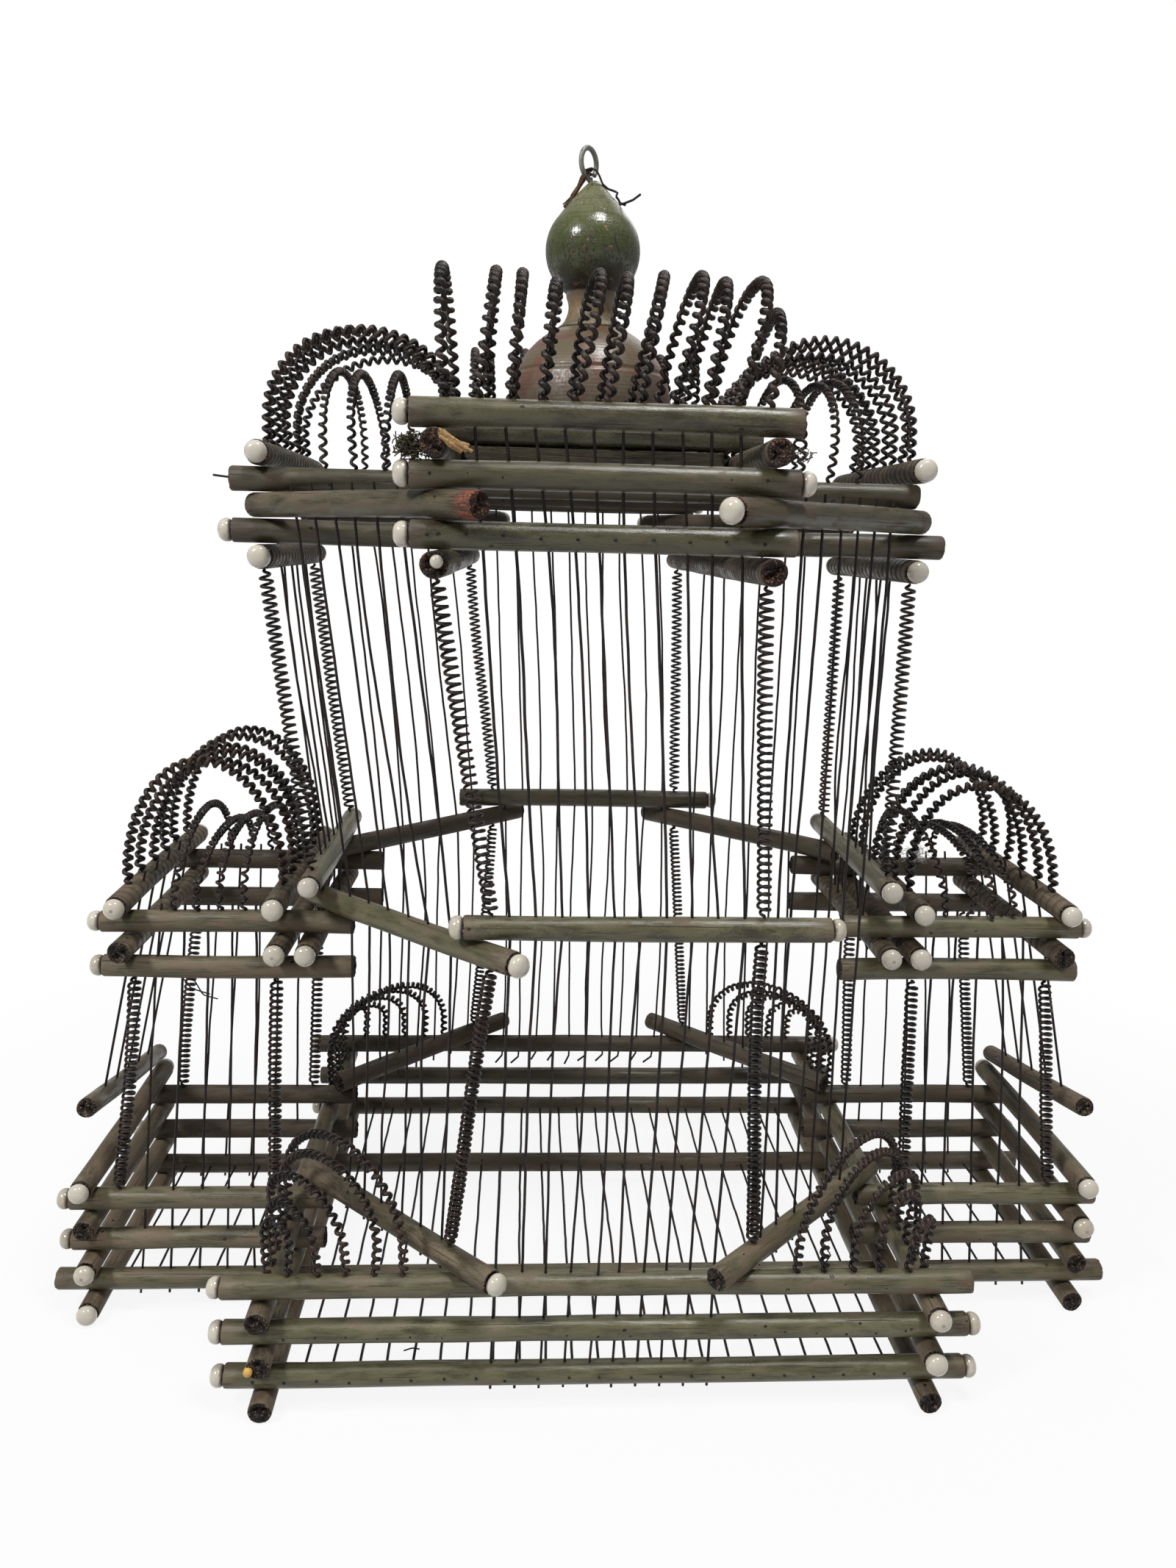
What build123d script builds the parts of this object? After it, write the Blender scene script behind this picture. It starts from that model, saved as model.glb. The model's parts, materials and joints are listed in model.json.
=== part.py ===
"""A hand-made wooden birdcage: a tall eight-sided tower between two side bays.

Round sticks lie crossed and stacked like a log cabin in three belts: the base, a ring at the
waist, and the crown. Straight wires stand in the sticks as bars, and lengths of coiled wire make
the corner posts and the arched roofs. A turned finial with a hanging eye stands on the crown,
and each bay has a door of sticks and wire that slides up in its end wall.

Millimetres, +Z up. The origin is at the middle of the cage, on the surface that it stands on.
"""

import math
import os

from build123d import *

os.makedirs("parts", exist_ok=True)

# Stock that the whole cage is made from
stick = 10.0
stick_sides = 10
wire = 1.5
wire_sides = 4
wire_proud = 3.0
wire_seat = 3.0
coil = 4.4
arch_steps = 4

# Porcelain beads on the ends of the sticks
bead_radius = 4.7
bead_rim = 2.4
bead_dome = 3.0
bead_sides = 6
bead_crown_share = 0.45

# Base of the tower
front_rail_y = 117.0
front_rail_half = 153.0
side_rail_x = 137.0
side_rail_half = 127.0
base_cross_x = 57.0

# Bays on the left and right of the tower
bay_rail_y = 51.0
bay_rail_length = 114.0
bay_rail_lap = 15.0
bay_rail_in = side_rail_x - bay_rail_lap
bay_rail_out = bay_rail_in + bay_rail_length
bay_end_overhang = 9.0
bay_sill_x = bay_rail_out - bay_end_overhang
bay_sill_half = 62.0
floor_rail_overhang = 8.0
floor_rail_half = bay_rail_out + floor_rail_overhang
bay_top_inset = 23.0
bay_top_sill_x = bay_sill_x - bay_top_inset
bay_top_overhang = 11.0
bay_top_out = bay_top_sill_x + bay_top_overhang
bay_top_in = 107.0
bay_top_inner_x = 139.0
bay_top_lower_x = 126.0
bay_top_sill_half = 64.0

# Ring at the waist
ring_height = 161.0
ring_side_x = 124.0
ring_side_half = 64.0
ring_front_y = 116.0
ring_front_half = 71.0
ring_front_shift = 14.0
ring_cross_x = 50.0

# Crown, which leans a little to the left
crown_height = 336.5
crown_shift = -8.0
crown_inner = 58.0
crown_outer = 132.0
crown_long_half = 144.0
crown_long_trim = 12.0
crown_deep_half = 139.0
crown_short_half = 67.0
crown_side_half = 64.0

# Corner sticks, laid at 45 degrees over two crossing sticks
base_near_lap = 13.0
base_far_lap = 8.0
ring_near_lap = 13.0
ring_far_lap = 3.5
crown_near_lap = 16.0
crown_far_lap = 4.0

# Straight wires
front_wire_pitch = 10.0
front_wire_count = 10
front_wire_ring_shift = 6.0
corner_wire_pitch = 9.0
corner_wire_count = 6
corner_wire_first = 9.0
corner_wire_ring_first = 12.0
corner_wire_crown_first = 14.5
side_wire_pitch = 12.0
side_wire_count = 6
bay_wire_count = 5
bay_wire_gap = 18.0
bay_wire_first_x = side_rail_x + bay_wire_gap
bay_wire_end_gap = 20.0
bay_wire_span = bay_sill_x - bay_wire_end_gap - bay_wire_first_x
bay_wire_pitch = bay_wire_span / (bay_wire_count - 1)
bay_wire_top_in = 6.0
bay_wire_lean = 3.0
floor_wire_pitch = 11.0
floor_wire_count = 23
bay_floor_wire_count = 6
bay_floor_wire_gap = 11.5
bay_floor_wire_first_x = side_rail_x + bay_floor_wire_gap

# Coiled posts at the corners
post = 7.0
post_sides = 6
post_wire = 1.6
post_turns = 10
gap_points = 24
tower_post_x = 62.0
tower_post_ring_x = 52.0
tower_post_y = 56.0
bay_post_inner_x = 145.0
bay_post_inner_top_x = 141.0
bay_post_inset = 13.0
bay_post_outer_x = bay_sill_x - bay_post_inset
bay_post_top_inset = 2.0
bay_post_outer_top_x = bay_top_sill_x - bay_post_top_inset

# Arched roofs of coiled wire
vault_pitch = 11.0
vault_count = 11
vault_leg = 13.5
vault_seat = 2.7
side_vault_pitch = 13.0
side_vault_count = 8
side_vault_leg = 10.5
side_rib_pitch = 12.0
side_rib_count = 3
side_rib_leg = 6.0
side_rib_rise = 40.0
bay_roof_pitch = 18.0
bay_roof_count = 6
bay_roof_leg = 4.0
bay_rib_pitch = 10.0
bay_rib_count = 4
bay_rib_first_x = 154.0
bay_rib_leg = 5.0
bay_rib_rise = 29.0
corner_arch_pitch = 11.5
corner_arch_count = 5
corner_arch_first_x = 80.0
corner_arch_leg = 16.0

# Ceiling, roof board and finial
board_gap = 0.3
roof_board_half_x = 52.0
roof_board_lap = 3.0
roof_board_thick = 9.0
turned_sides = 24
turned_steps = 5
dome_radius = 36.0
dome_height = 35.5
dome_top_radius = 14.5
neck_flare_radius = 11.6
neck_flare_height = 3.0
neck_radius = 10.0
neck_height = 8.5
knob_start_height = 15.0
knob_middle_height = 32.0
knob_radius = 20.4
knob_height = 60.0
knob_tip_radius = 2.2
eye_radius = 5.4
eye_wire = 1.7
eye_sides = 16
eye_turn = 49.0
eye_shank = 8.0

# Sliding doors in the end walls of the bays
door_stick = 9.0
door_half = 61.0
door_lift = 29.0
door_gap = 0.4
door_near_inset = 4.5
door_near_x = bay_sill_x - door_near_inset
door_wire_pitch = 18.0
door_wire_count = 5
door_hole_gap = 0.2


def middle(bottom, step):
    """Height of the centre of a stick that lies `step` sticks above the bottom of its belt."""
    return bottom + (step + 0.5) * stick


def top_of(bottom, step):
    """Height of the top of a stick that lies `step` sticks above the bottom of its belt."""
    return bottom + (step + 1) * stick


def spread(count, pitch, start=None):
    """Places of `count` copies, centred on zero or running on from `start`."""
    first = -(count - 1) * pitch / 2 if start is None else start
    return [first + k * pitch for k in range(count)]


def bars(plane, places, across, sides, length):
    """Adds straight bars of a many-sided section that start on the plane at each place."""
    with BuildSketch(plane) as ends:
        with Locations(*places):
            RegularPolygon(across / 2, sides, major_radius=False)
    extrude(to_extrude=ends.sketch, amount=length)


def sticks_along_x(low, high, places):
    """Adds sticks along X from low to high, centred on each (y, z)."""
    bars(Plane.YZ.offset(low), places, stick, stick_sides, high - low)


def sticks_along_y(half, places, across=stick, sides=stick_sides):
    """Adds sticks along Y, half to each side of the middle, centred on each (x, z)."""
    bars(Plane.XZ.offset(half), places, across, sides, -2 * half)


def bar_between(start, end, across, sides):
    """Adds one straight bar from point to point, its ends cut square."""
    run = Vector(*end) - Vector(*start)
    level = Vector(0, 0, 1).cross(run)
    bars(Plane(origin=start, x_dir=level, z_dir=run), [(0, 0)], across, sides, run.length)


def slanted(places, low, high, across, sides, mode=Mode.ADD):
    """Adds bars whose ends are level, from z of `low` to z of `high`, moved by both offsets."""
    with BuildSketch(Plane.XY.offset(low[2])) as cut:
        with Locations(*[(x + low[0], y + low[1]) for x, y in places]):
            RegularPolygon(across / 2, sides, major_radius=False)
    run = Vector(*high) - Vector(*low)
    extrude(to_extrude=cut.sketch, amount=run.length, dir=run, mode=mode)


def wires(places, *knees):
    """Adds wires that stand at (x, y) places and pass each (dx, dy, z) knee in turn."""
    for low, high in zip(knees, knees[1:]):
        slanted(places, low, high, wire, wire_sides)


def beads(ends):
    """Adds a porcelain bead with a bevelled face on each (point, outward direction)."""
    for point, outward in ends:
        with BuildPart(mode=Mode.PRIVATE) as bead:
            with BuildSketch(Plane(origin=point, z_dir=outward)) as rim:
                RegularPolygon(bead_radius, bead_sides)
            extrude(to_extrude=rim.sketch, amount=bead_rim + bead_dome)
            front = bead.faces().sort_by(Axis(point, outward))[-1]
            chamfer(front.edges(), bead_dome, bead_radius * (1 - bead_crown_share))
        add(bead.part)


def arch(plane, half_span, leg, rise, drop=0.0):
    """Adds one arch of coiled wire as a plain band: two legs and half an ellipse.

    The plane's x runs from foot to foot and its y runs up. The foot at low x goes down by drop.
    """
    turns = [math.pi * (1 - k / arch_steps) for k in range(arch_steps + 1)]

    def edge(grow):
        across, up = half_span + grow, rise + grow
        crown = [(across * math.cos(t), leg + up * math.sin(t)) for t in turns]
        return [(-across, -drop), *crown, (across, 0)]

    with BuildSketch(plane) as band:
        with BuildLine():
            Polyline(*edge(coil / 2), *reversed(edge(-coil / 2)), close=True)
        make_face()
    extrude(to_extrude=band.sketch, amount=coil / 2, both=True)


def biarc(start, leave, end, arrive):
    """Draws two arcs that leave along one direction, meet smoothly and arrive along another."""
    chord = end - start
    a = 2 * (leave.dot(arrive) - 1)
    b = -2 * chord.dot(leave + arrive)
    reach = (-b - math.sqrt(b * b - 4 * a * chord.dot(chord))) / (2 * a)
    first = start + leave * reach
    second = end - arrive * reach
    knot = (first + second) / 2
    TangentArc(start, knot, tangent=leave)
    TangentArc(knot, end, tangent=second - first)


def coiled_post(foot, head, turns):
    """Adds a post of coiled wire from foot to head, with a short straight end at each."""
    axis = Vector(*head) - Vector(*foot)
    radius = (post - post_wire) / 2
    lead = 2 * post_wire
    along = axis.normalized()
    across = Vector(0, 1, 0).cross(along).normalized()
    ahead = along.cross(across)
    rise = (axis.length - 2 * (lead + post_wire)) / turns
    start = Vector(*foot) + along * (lead + post_wire)
    up = Vector(0, 0, 1)

    def on_coil(turn):
        angle = 2 * math.pi * turn
        return start + (across * math.cos(angle) + ahead * math.sin(angle)) * radius + along * (rise * turn)

    def heading(turn):
        angle = 2 * math.pi * turn
        spin = (ahead * math.cos(angle) - across * math.sin(angle)) * (2 * math.pi * radius)
        return (spin + along * rise).normalized()

    low = Vector(on_coil(-0.25).X, on_coil(-0.25).Y, foot[2])
    high = Vector(on_coil(turns + 0.25).X, on_coil(turns + 0.25).Y, head[2])
    with BuildLine() as path:
        Line(low, low + up * post_wire)
        biarc(low + up * post_wire, up, on_coil(0), heading(0))
        for half in range(2 * turns):
            biarc(on_coil(half / 2), heading(half / 2), on_coil(half / 2 + 0.5), heading(half / 2 + 0.5))
        biarc(on_coil(turns), heading(turns), high - up * post_wire, up)
        Line(high - up * post_wire, high)
    with BuildSketch(Plane(origin=low, z_dir=up)) as section:
        RegularPolygon(post_wire / 2, wire_sides, major_radius=False)
    sweep(sections=section.sketch, path=path.wire(), clean=False)
    return path.wire()


def least_gap(path, turns):
    """Least gap from one turn of a coil to another, measured on points along its path."""
    count = int(turns * gap_points)
    points = [path.position_at(k / count) for k in range(count + 1)]
    apart = gap_points // 2
    nearest = min(
        (points[i] - points[j]).length for i in range(count + 1) for j in range(i + apart, count + 1)
    )
    return nearest - post_wire


def corner_ends(cross, line_y, meet_y, near_lap, far_lap, sx, sy, z, shift=0.0):
    """Ends of a 45 degree corner stick that crosses line_y at `cross` and runs back to meet_y."""
    back = line_y - meet_y
    near = (shift + sx * (cross - near_lap), sy * (line_y + near_lap), z)
    far = (shift + sx * (cross + back + far_lap), sy * (meet_y - far_lap), z)
    return near, far


sides = (("left", -1), ("right", 1))
corners = ((-1, -1), (1, -1), (-1, 1), (1, 1))

# Sticks of the base

with BuildPart() as base_front_back_rails:
    sticks_along_x(
        -front_rail_half,
        front_rail_half,
        [(sy * front_rail_y, middle(0, k)) for sy in (-1, 1) for k in (1, 3, 5)],
    )
base_front_back_rails.part.label = "base_front_back_rails"
export_step(base_front_back_rails.part, "parts/base_front_back_rails.step")

with BuildPart() as base_side_rails:
    sticks_along_y(side_rail_half, [(sx * side_rail_x, middle(0, k)) for sx in (-1, 1) for k in (0, 2, 4)])
base_side_rails.part.label = "base_side_rails"
export_step(base_side_rails.part, "parts/base_side_rails.step")

with BuildPart() as floor_rails:
    sticks_along_x(-floor_rail_half, floor_rail_half, [(sy * bay_rail_y, middle(0, 1)) for sy in (-1, 1)])
floor_rails.part.label = "floor_rails"
export_step(floor_rails.part, "parts/floor_rails.step")

with BuildPart() as base_corner_rails:
    for sx, sy in corners:
        near, far = corner_ends(
            base_cross_x, front_rail_y, bay_rail_y, base_near_lap, base_far_lap, sx, sy, middle(0, 6)
        )
        bar_between(near, far, stick, stick_sides)
base_corner_rails.part.label = "base_corner_rails"
export_step(base_corner_rails.part, "parts/base_corner_rails.step")

for side, sx in sides:
    with BuildPart() as bay_base_rails:
        sticks_along_x(
            *sorted((sx * bay_rail_in, sx * bay_rail_out)),
            [(sy * bay_rail_y, middle(0, k)) for sy in (-1, 1) for k in (3, 5)],
        )
    bay_base_rails.part.label = f"{side}_bay_base_rails"
    export_step(bay_base_rails.part, f"parts/{side}_bay_base_rails.step")

    with BuildPart() as bay_sills:
        sticks_along_y(bay_sill_half, [(sx * bay_sill_x, middle(0, k)) for k in (0, 2, 4, 6)])
    bay_sills.part.label = f"{side}_bay_sills"
    export_step(bay_sills.part, f"parts/{side}_bay_sills.step")

# Sticks of the ring and of the tops of the bays

door_low_z = top_of(0, 6) + door_gap + door_stick / 2 / math.cos(math.pi / stick_sides)
door_near_z = door_low_z + door_lift
door_guide_z = middle(ring_height, 2)
door_lean = (door_near_x - bay_top_sill_x) / (door_guide_z - door_near_z)
door_wire_top = top_of(ring_height, 3) + wire_proud
door_wire_places = spread(door_wire_count, door_wire_pitch)


def door_x(z):
    """Distance of the leaning door from the middle of the cage at a height."""
    return bay_top_sill_x + door_lean * (door_guide_z - z)


def door_rail_z(y):
    """Height of the middle of the tilted door rail at a depth."""
    return door_low_z + door_lift * (door_half - y) / (2 * door_half)


for side, sx in sides:
    with BuildPart() as bay_top_rails:
        sticks_along_x(
            *sorted((sx * bay_top_in, sx * bay_top_out)),
            [(sy * bay_rail_y, middle(ring_height, k)) for sy in (-1, 1) for k in (0, 2)],
        )
    bay_top_rails.part.label = f"{side}_bay_top_rails"
    export_step(bay_top_rails.part, f"parts/{side}_bay_top_rails.step")

    with BuildPart() as bay_top_sills:
        sticks_along_y(
            bay_top_sill_half,
            [(sx * bay_top_sill_x, middle(ring_height, k)) for k in (1, 3)],
        )
        hole_low = middle(ring_height, 0)
        hole_high = middle(ring_height, 4)
        slanted(
            [(0, y) for y in door_wire_places],
            (sx * door_x(hole_low), 0, hole_low),
            (sx * door_x(hole_high), 0, hole_high),
            wire + 2 * door_hole_gap,
            wire_sides,
            mode=Mode.SUBTRACT,
        )
    bay_top_sills.part.label = f"{side}_bay_top_sills"
    export_step(bay_top_sills.part, f"parts/{side}_bay_top_sills.step")

    with BuildPart() as bay_top_inner_rails:
        sticks_along_y(
            bay_top_sill_half,
            [
                (sx * bay_top_inner_x, middle(ring_height, 1)),
                (sx * bay_top_inner_x, middle(ring_height, 3)),
                (sx * bay_top_lower_x, middle(ring_height, 1)),
            ],
        )
    bay_top_inner_rails.part.label = f"{side}_bay_top_inner_rails"
    export_step(bay_top_inner_rails.part, f"parts/{side}_bay_top_inner_rails.step")

ring_corners = [corner for corner in corners if corner != (1, -1)]

with BuildPart() as ring_corner_rails:
    for sx, sy in ring_corners:
        near, far = corner_ends(
            ring_cross_x,
            ring_front_y,
            ring_front_y - (ring_side_x - ring_cross_x),
            ring_near_lap,
            ring_far_lap,
            sx,
            sy,
            middle(ring_height, 3),
        )
        bar_between(near, far, stick, stick_sides)
ring_corner_rails.part.label = "ring_corner_rails"
export_step(ring_corner_rails.part, "parts/ring_corner_rails.step")

with BuildPart() as ring_rails:
    ring_z = middle(ring_height, 4)
    sticks_along_y(ring_side_half, [(sx * ring_side_x, ring_z) for sx in (-1, 1)])
    sticks_along_x(-ring_front_half + ring_front_shift, ring_front_half + ring_front_shift, [(-ring_front_y, ring_z)])
    sticks_along_x(-ring_front_half, ring_front_half, [(ring_front_y, ring_z)])
ring_rails.part.label = "ring_rails"
export_step(ring_rails.part, "parts/ring_rails.step")

# Sticks of the crown

with BuildPart() as crown_deep_rails:
    sticks_along_y(
        crown_deep_half,
        [(crown_shift + sx * crown_inner, middle(crown_height, k)) for sx in (-1, 1) for k in (0, 4)],
    )
crown_deep_rails.part.label = "crown_deep_rails"
export_step(crown_deep_rails.part, "parts/crown_deep_rails.step")

with BuildPart() as crown_side_rails:
    sticks_along_y(
        crown_side_half,
        [(crown_shift + sx * crown_outer, middle(crown_height, k)) for sx in (-1, 1) for k in (0, 4)],
    )
crown_side_rails.part.label = "crown_side_rails"
export_step(crown_side_rails.part, "parts/crown_side_rails.step")

with BuildPart() as crown_wide_rails:
    for step, trim in ((1, 0), (3, crown_long_trim)):
        sticks_along_x(
            crown_shift - crown_long_half,
            crown_shift + crown_long_half - trim,
            [(sy * crown_inner, middle(crown_height, step)) for sy in (-1, 1)],
        )
crown_wide_rails.part.label = "crown_wide_rails"
export_step(crown_wide_rails.part, "parts/crown_wide_rails.step")

with BuildPart() as crown_cross_rails:
    sticks_along_x(
        crown_shift - crown_short_half,
        crown_shift + crown_short_half,
        [(sy * crown_outer, middle(crown_height, k)) for sy in (-1, 1) for k in (1, 3, 5)]
        + [(sy * crown_inner, middle(crown_height, 5)) for sy in (-1, 1)],
    )
crown_cross_rails.part.label = "crown_cross_rails"
export_step(crown_cross_rails.part, "parts/crown_cross_rails.step")

with BuildPart() as crown_corner_rails:
    for sx, sy in corners:
        near, far = corner_ends(
            crown_inner,
            crown_outer,
            crown_inner,
            crown_near_lap,
            crown_far_lap,
            sx,
            sy,
            middle(crown_height, 2),
            crown_shift,
        )
        bar_between(near, far, stick, stick_sides)
crown_corner_rails.part.label = "crown_corner_rails"
export_step(crown_corner_rails.part, "parts/crown_corner_rails.step")

# Boards and finial

ceiling_half_x = crown_inner - stick / 2 - board_gap
ceiling_half_y = crown_inner + stick / 2
ceiling_z = top_of(crown_height, 3)
roof_z = top_of(crown_height, 5)
roof_board_half_y = crown_inner - stick / 2 + roof_board_lap
dome_z = roof_z + roof_board_thick
knob_z = dome_z + dome_height

with BuildPart() as ceiling_board:
    with BuildSketch(Plane.XY.offset(ceiling_z)):
        with Locations((crown_shift, 0)):
            Rectangle(2 * ceiling_half_x, 2 * ceiling_half_y)
    extrude(amount=stick)
ceiling_board.part.label = "ceiling_board"
export_step(ceiling_board.part, "parts/ceiling_board.step")

with BuildPart() as roof_board:
    with BuildSketch(Plane.XY.offset(roof_z)):
        with Locations((crown_shift, 0)):
            Rectangle(2 * roof_board_half_x, 2 * roof_board_half_y)
    extrude(amount=roof_board_thick)
roof_board.part.label = "roof_board"
export_step(roof_board.part, "parts/roof_board.step")


def turned(foot_z, outline):
    """Adds a turned form with flat facets: what is common to the outline's shadow from all sides.

    The outline runs up from the foot as (radius, height) points.
    """
    silhouette = [*outline, *[(-radius, height) for radius, height in reversed(outline)]]
    depth = 2 * max(radius for radius, height in outline)
    for k in range(turned_sides // 2):
        angle = 2 * math.pi * k / turned_sides
        across = (math.cos(angle), math.sin(angle), 0)
        upright = Plane(
            origin=(crown_shift, 0, foot_z), x_dir=across, z_dir=(across[1], -across[0], 0)
        )
        with BuildSketch(upright) as shadow:
            with BuildLine():
                Polyline(*silhouette, close=True)
            make_face()
        extrude(
            to_extrude=shadow.sketch,
            amount=depth,
            both=True,
            mode=Mode.INTERSECT if k else Mode.ADD,
        )


def round_points(middle_height, radius, start, end):
    """Points of a round stretch of an outline, from one angle to another above level."""
    angles = [start + (end - start) * k / turned_steps for k in range(turned_steps + 1)]
    return [(radius * math.cos(a), middle_height + radius * math.sin(a)) for a in angles]


dome_middle = (dome_height**2 + dome_top_radius**2 - dome_radius**2) / (2 * dome_height)
dome_ball = math.hypot(dome_radius, dome_middle)
dome_start = math.atan2(-dome_middle, dome_radius)
dome_end = math.atan2(dome_height - dome_middle, dome_top_radius)

with BuildPart() as finial_dome:
    turned(dome_z, round_points(dome_middle, dome_ball, dome_start, dome_end))
finial_dome.part.label = "finial_dome"
export_step(finial_dome.part, "parts/finial_dome.step")

knob_start = -math.asin((knob_middle_height - knob_start_height) / knob_radius)
tip_rise = knob_height - knob_middle_height
tip_reach = math.hypot(tip_rise, knob_tip_radius)
knob_end = math.atan2(tip_rise, knob_tip_radius) - math.acos(knob_radius / tip_reach)

with BuildPart() as finial_knob:
    turned(
        knob_z,
        [
            (dome_top_radius, 0),
            (neck_flare_radius, neck_flare_height),
            (neck_radius, neck_height),
            *round_points(knob_middle_height, knob_radius, knob_start, knob_end),
            (knob_tip_radius, knob_height),
        ],
    )
finial_knob.part.label = "finial_knob"
export_step(finial_knob.part, "parts/finial_knob.step")

eye_z = knob_z + knob_height + eye_radius

with BuildPart() as hanging_eye:
    across = (math.cos(math.radians(eye_turn)), math.sin(math.radians(eye_turn)), 0)
    upright = Plane(origin=(crown_shift, 0, eye_z), x_dir=across, z_dir=(across[1], -across[0], 0))
    with BuildSketch(upright) as ring:
        RegularPolygon(eye_radius + eye_wire / 2, eye_sides)
        RegularPolygon(eye_radius - eye_wire / 2, eye_sides, mode=Mode.SUBTRACT)
    extrude(to_extrude=ring.sketch, amount=eye_wire / 2, both=True)
    shank_foot = Plane.XY.offset(eye_z - eye_radius - eye_shank)
    bars(shank_foot, [(crown_shift, 0)], eye_wire, wire_sides, eye_shank)
hanging_eye.part.label = "hanging_eye"
export_step(hanging_eye.part, "parts/hanging_eye.step")

# Straight wires of the tower

front_places = [(x, 0) for x in spread(front_wire_count, front_wire_pitch)]
wire_foot_z = top_of(0, 0) - wire_proud
crown_wire_top = middle(crown_height, 5)

ring_shifts = {-1: front_wire_ring_shift, 1: 0}

for name, sy in (("front", -1), ("back", 1)):
    with BuildPart() as panel_wires:
        wires(
            front_places,
            (0, sy * front_rail_y, wire_foot_z),
            (ring_shifts[sy], sy * ring_front_y, middle(ring_height, 4)),
            (crown_shift, sy * crown_outer, crown_wire_top),
        )
    panel_wires.part.label = f"tower_{name}_wires"
    export_step(panel_wires.part, f"parts/tower_{name}_wires.step")


def corner_places(sx, sy):
    """Places of the wires of a corner panel, from its first wire outward."""
    return [(-sx * step, sy * step) for step in spread(corner_wire_count, -corner_wire_pitch, 0.0)]


with BuildPart() as tower_corner_wires:
    for sx, sy in corners:
        foot = base_cross_x + corner_wire_first
        waist = ring_cross_x + corner_wire_ring_first
        head = crown_inner + corner_wire_crown_first
        knees = [
            (sx * foot, sy * (front_rail_y + base_cross_x - foot), top_of(0, 5) - wire_proud),
            (sx * waist, sy * (ring_front_y + ring_cross_x - waist), middle(ring_height, 3)),
            (
                crown_shift + sx * head,
                sy * (crown_outer + crown_inner - head),
                top_of(crown_height, 2) + wire_proud,
            ),
        ]
        if (sx, sy) not in ring_corners:
            del knees[1]
        wires(corner_places(sx, sy), *knees)
tower_corner_wires.part.label = "tower_corner_wires"
export_step(tower_corner_wires.part, "parts/tower_corner_wires.step")

with BuildPart() as tower_side_wires:
    for sx in (-1, 1):
        wires(
            [(0, y) for y in spread(side_wire_count, side_wire_pitch)],
            (sx * bay_top_lower_x, 0, top_of(ring_height, 0) - wire_proud),
            (sx * ring_side_x, 0, middle(ring_height, 4)),
            (crown_shift + sx * crown_outer, 0, top_of(crown_height, 0) + wire_proud),
        )
tower_side_wires.part.label = "tower_side_wires"
export_step(tower_side_wires.part, "parts/tower_side_wires.step")

# Straight wires of the bays and the floor

for side, sx in sides:
    with BuildPart() as bay_wires:
        for number, x in enumerate(spread(bay_wire_count, bay_wire_pitch, bay_wire_first_x)):
            inward = bay_wire_top_in + number * bay_wire_lean
            wires(
                [(sx * x, sy * bay_rail_y) for sy in (-1, 1)],
                (0, 0, wire_foot_z),
                (-sx * inward, 0, top_of(ring_height, 2) + wire_proud),
            )
    bay_wires.part.label = f"{side}_bay_wires"
    export_step(bay_wires.part, f"parts/{side}_bay_wires.step")


def wires_along_y(half, places):
    """Adds wires along Y at the height of the floor, half to each side, at each x."""
    sticks_along_y(half, [(x, middle(0, 1)) for x in places], wire, wire_sides)


with BuildPart() as floor_wires:
    wires_along_y(front_rail_y - stick / 2 + wire_seat, spread(floor_wire_count, floor_wire_pitch))
    for sx in (-1, 1):
        places = spread(bay_floor_wire_count, bay_wire_pitch, bay_floor_wire_first_x)
        wires_along_y(bay_rail_y + wire_proud, [sx * x for x in places])
floor_wires.part.label = "floor_wires"
export_step(floor_wires.part, "parts/floor_wires.step")

# Coiled posts: all plain rods of the coil's size but the front left one, which has its turns

plain_post_sides = {"left": (1,), "right": (-1, 1)}

with BuildPart() as tower_lower_posts:
    for sx, sy in corners:
        waist_x = sx * tower_post_ring_x + ring_shifts[sy]
        waist_y = ring_front_y + ring_cross_x - abs(waist_x)
        held = top_of(ring_height, 2)
        if (sx, sy) not in ring_corners:
            waist_y = ring_front_y
            held = top_of(ring_height, 3)
        slanted(
            [(0, 0)],
            (sx * tower_post_x, sy * (front_rail_y + base_cross_x - tower_post_x), top_of(0, 6)),
            (waist_x, sy * waist_y, held),
            post,
            post_sides,
        )
tower_lower_posts.part.label = "tower_lower_posts"
export_step(tower_lower_posts.part, "parts/tower_lower_posts.step")

with BuildPart() as tower_upper_posts:
    for sx, sy in corners:
        slanted(
            [(0, 0)],
            (sx * tower_post_ring_x + ring_shifts[sy], sy * ring_front_y, top_of(ring_height, 4)),
            (crown_shift + sx * crown_inner, sy * (crown_outer - stick / 2), crown_height),
            post,
            post_sides,
        )
        slanted(
            [(0, sy * tower_post_y)],
            (sx * ring_side_x, 0, top_of(ring_height, 4)),
            (crown_shift + sx * crown_outer, 0, crown_height),
            post,
            post_sides,
        )
tower_upper_posts.part.label = "tower_upper_posts"
export_step(tower_upper_posts.part, "parts/tower_upper_posts.step")

for side, sx in sides:
    with BuildPart() as bay_posts:
        for sy in (-1, 1):
            slanted(
                [(0, sy * bay_rail_y)],
                (sx * bay_post_inner_x, 0, top_of(0, 5)),
                (sx * bay_post_inner_top_x, 0, ring_height),
                post,
                post_sides,
            )
        for sy in plain_post_sides[side]:
            slanted(
                [(0, sy * bay_rail_y)],
                (sx * bay_post_outer_x, 0, top_of(0, 5)),
                (sx * bay_post_outer_top_x, 0, ring_height),
                post,
                post_sides,
            )
    bay_posts.part.label = f"{side}_bay_posts"
    export_step(bay_posts.part, f"parts/{side}_bay_posts.step")

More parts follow.
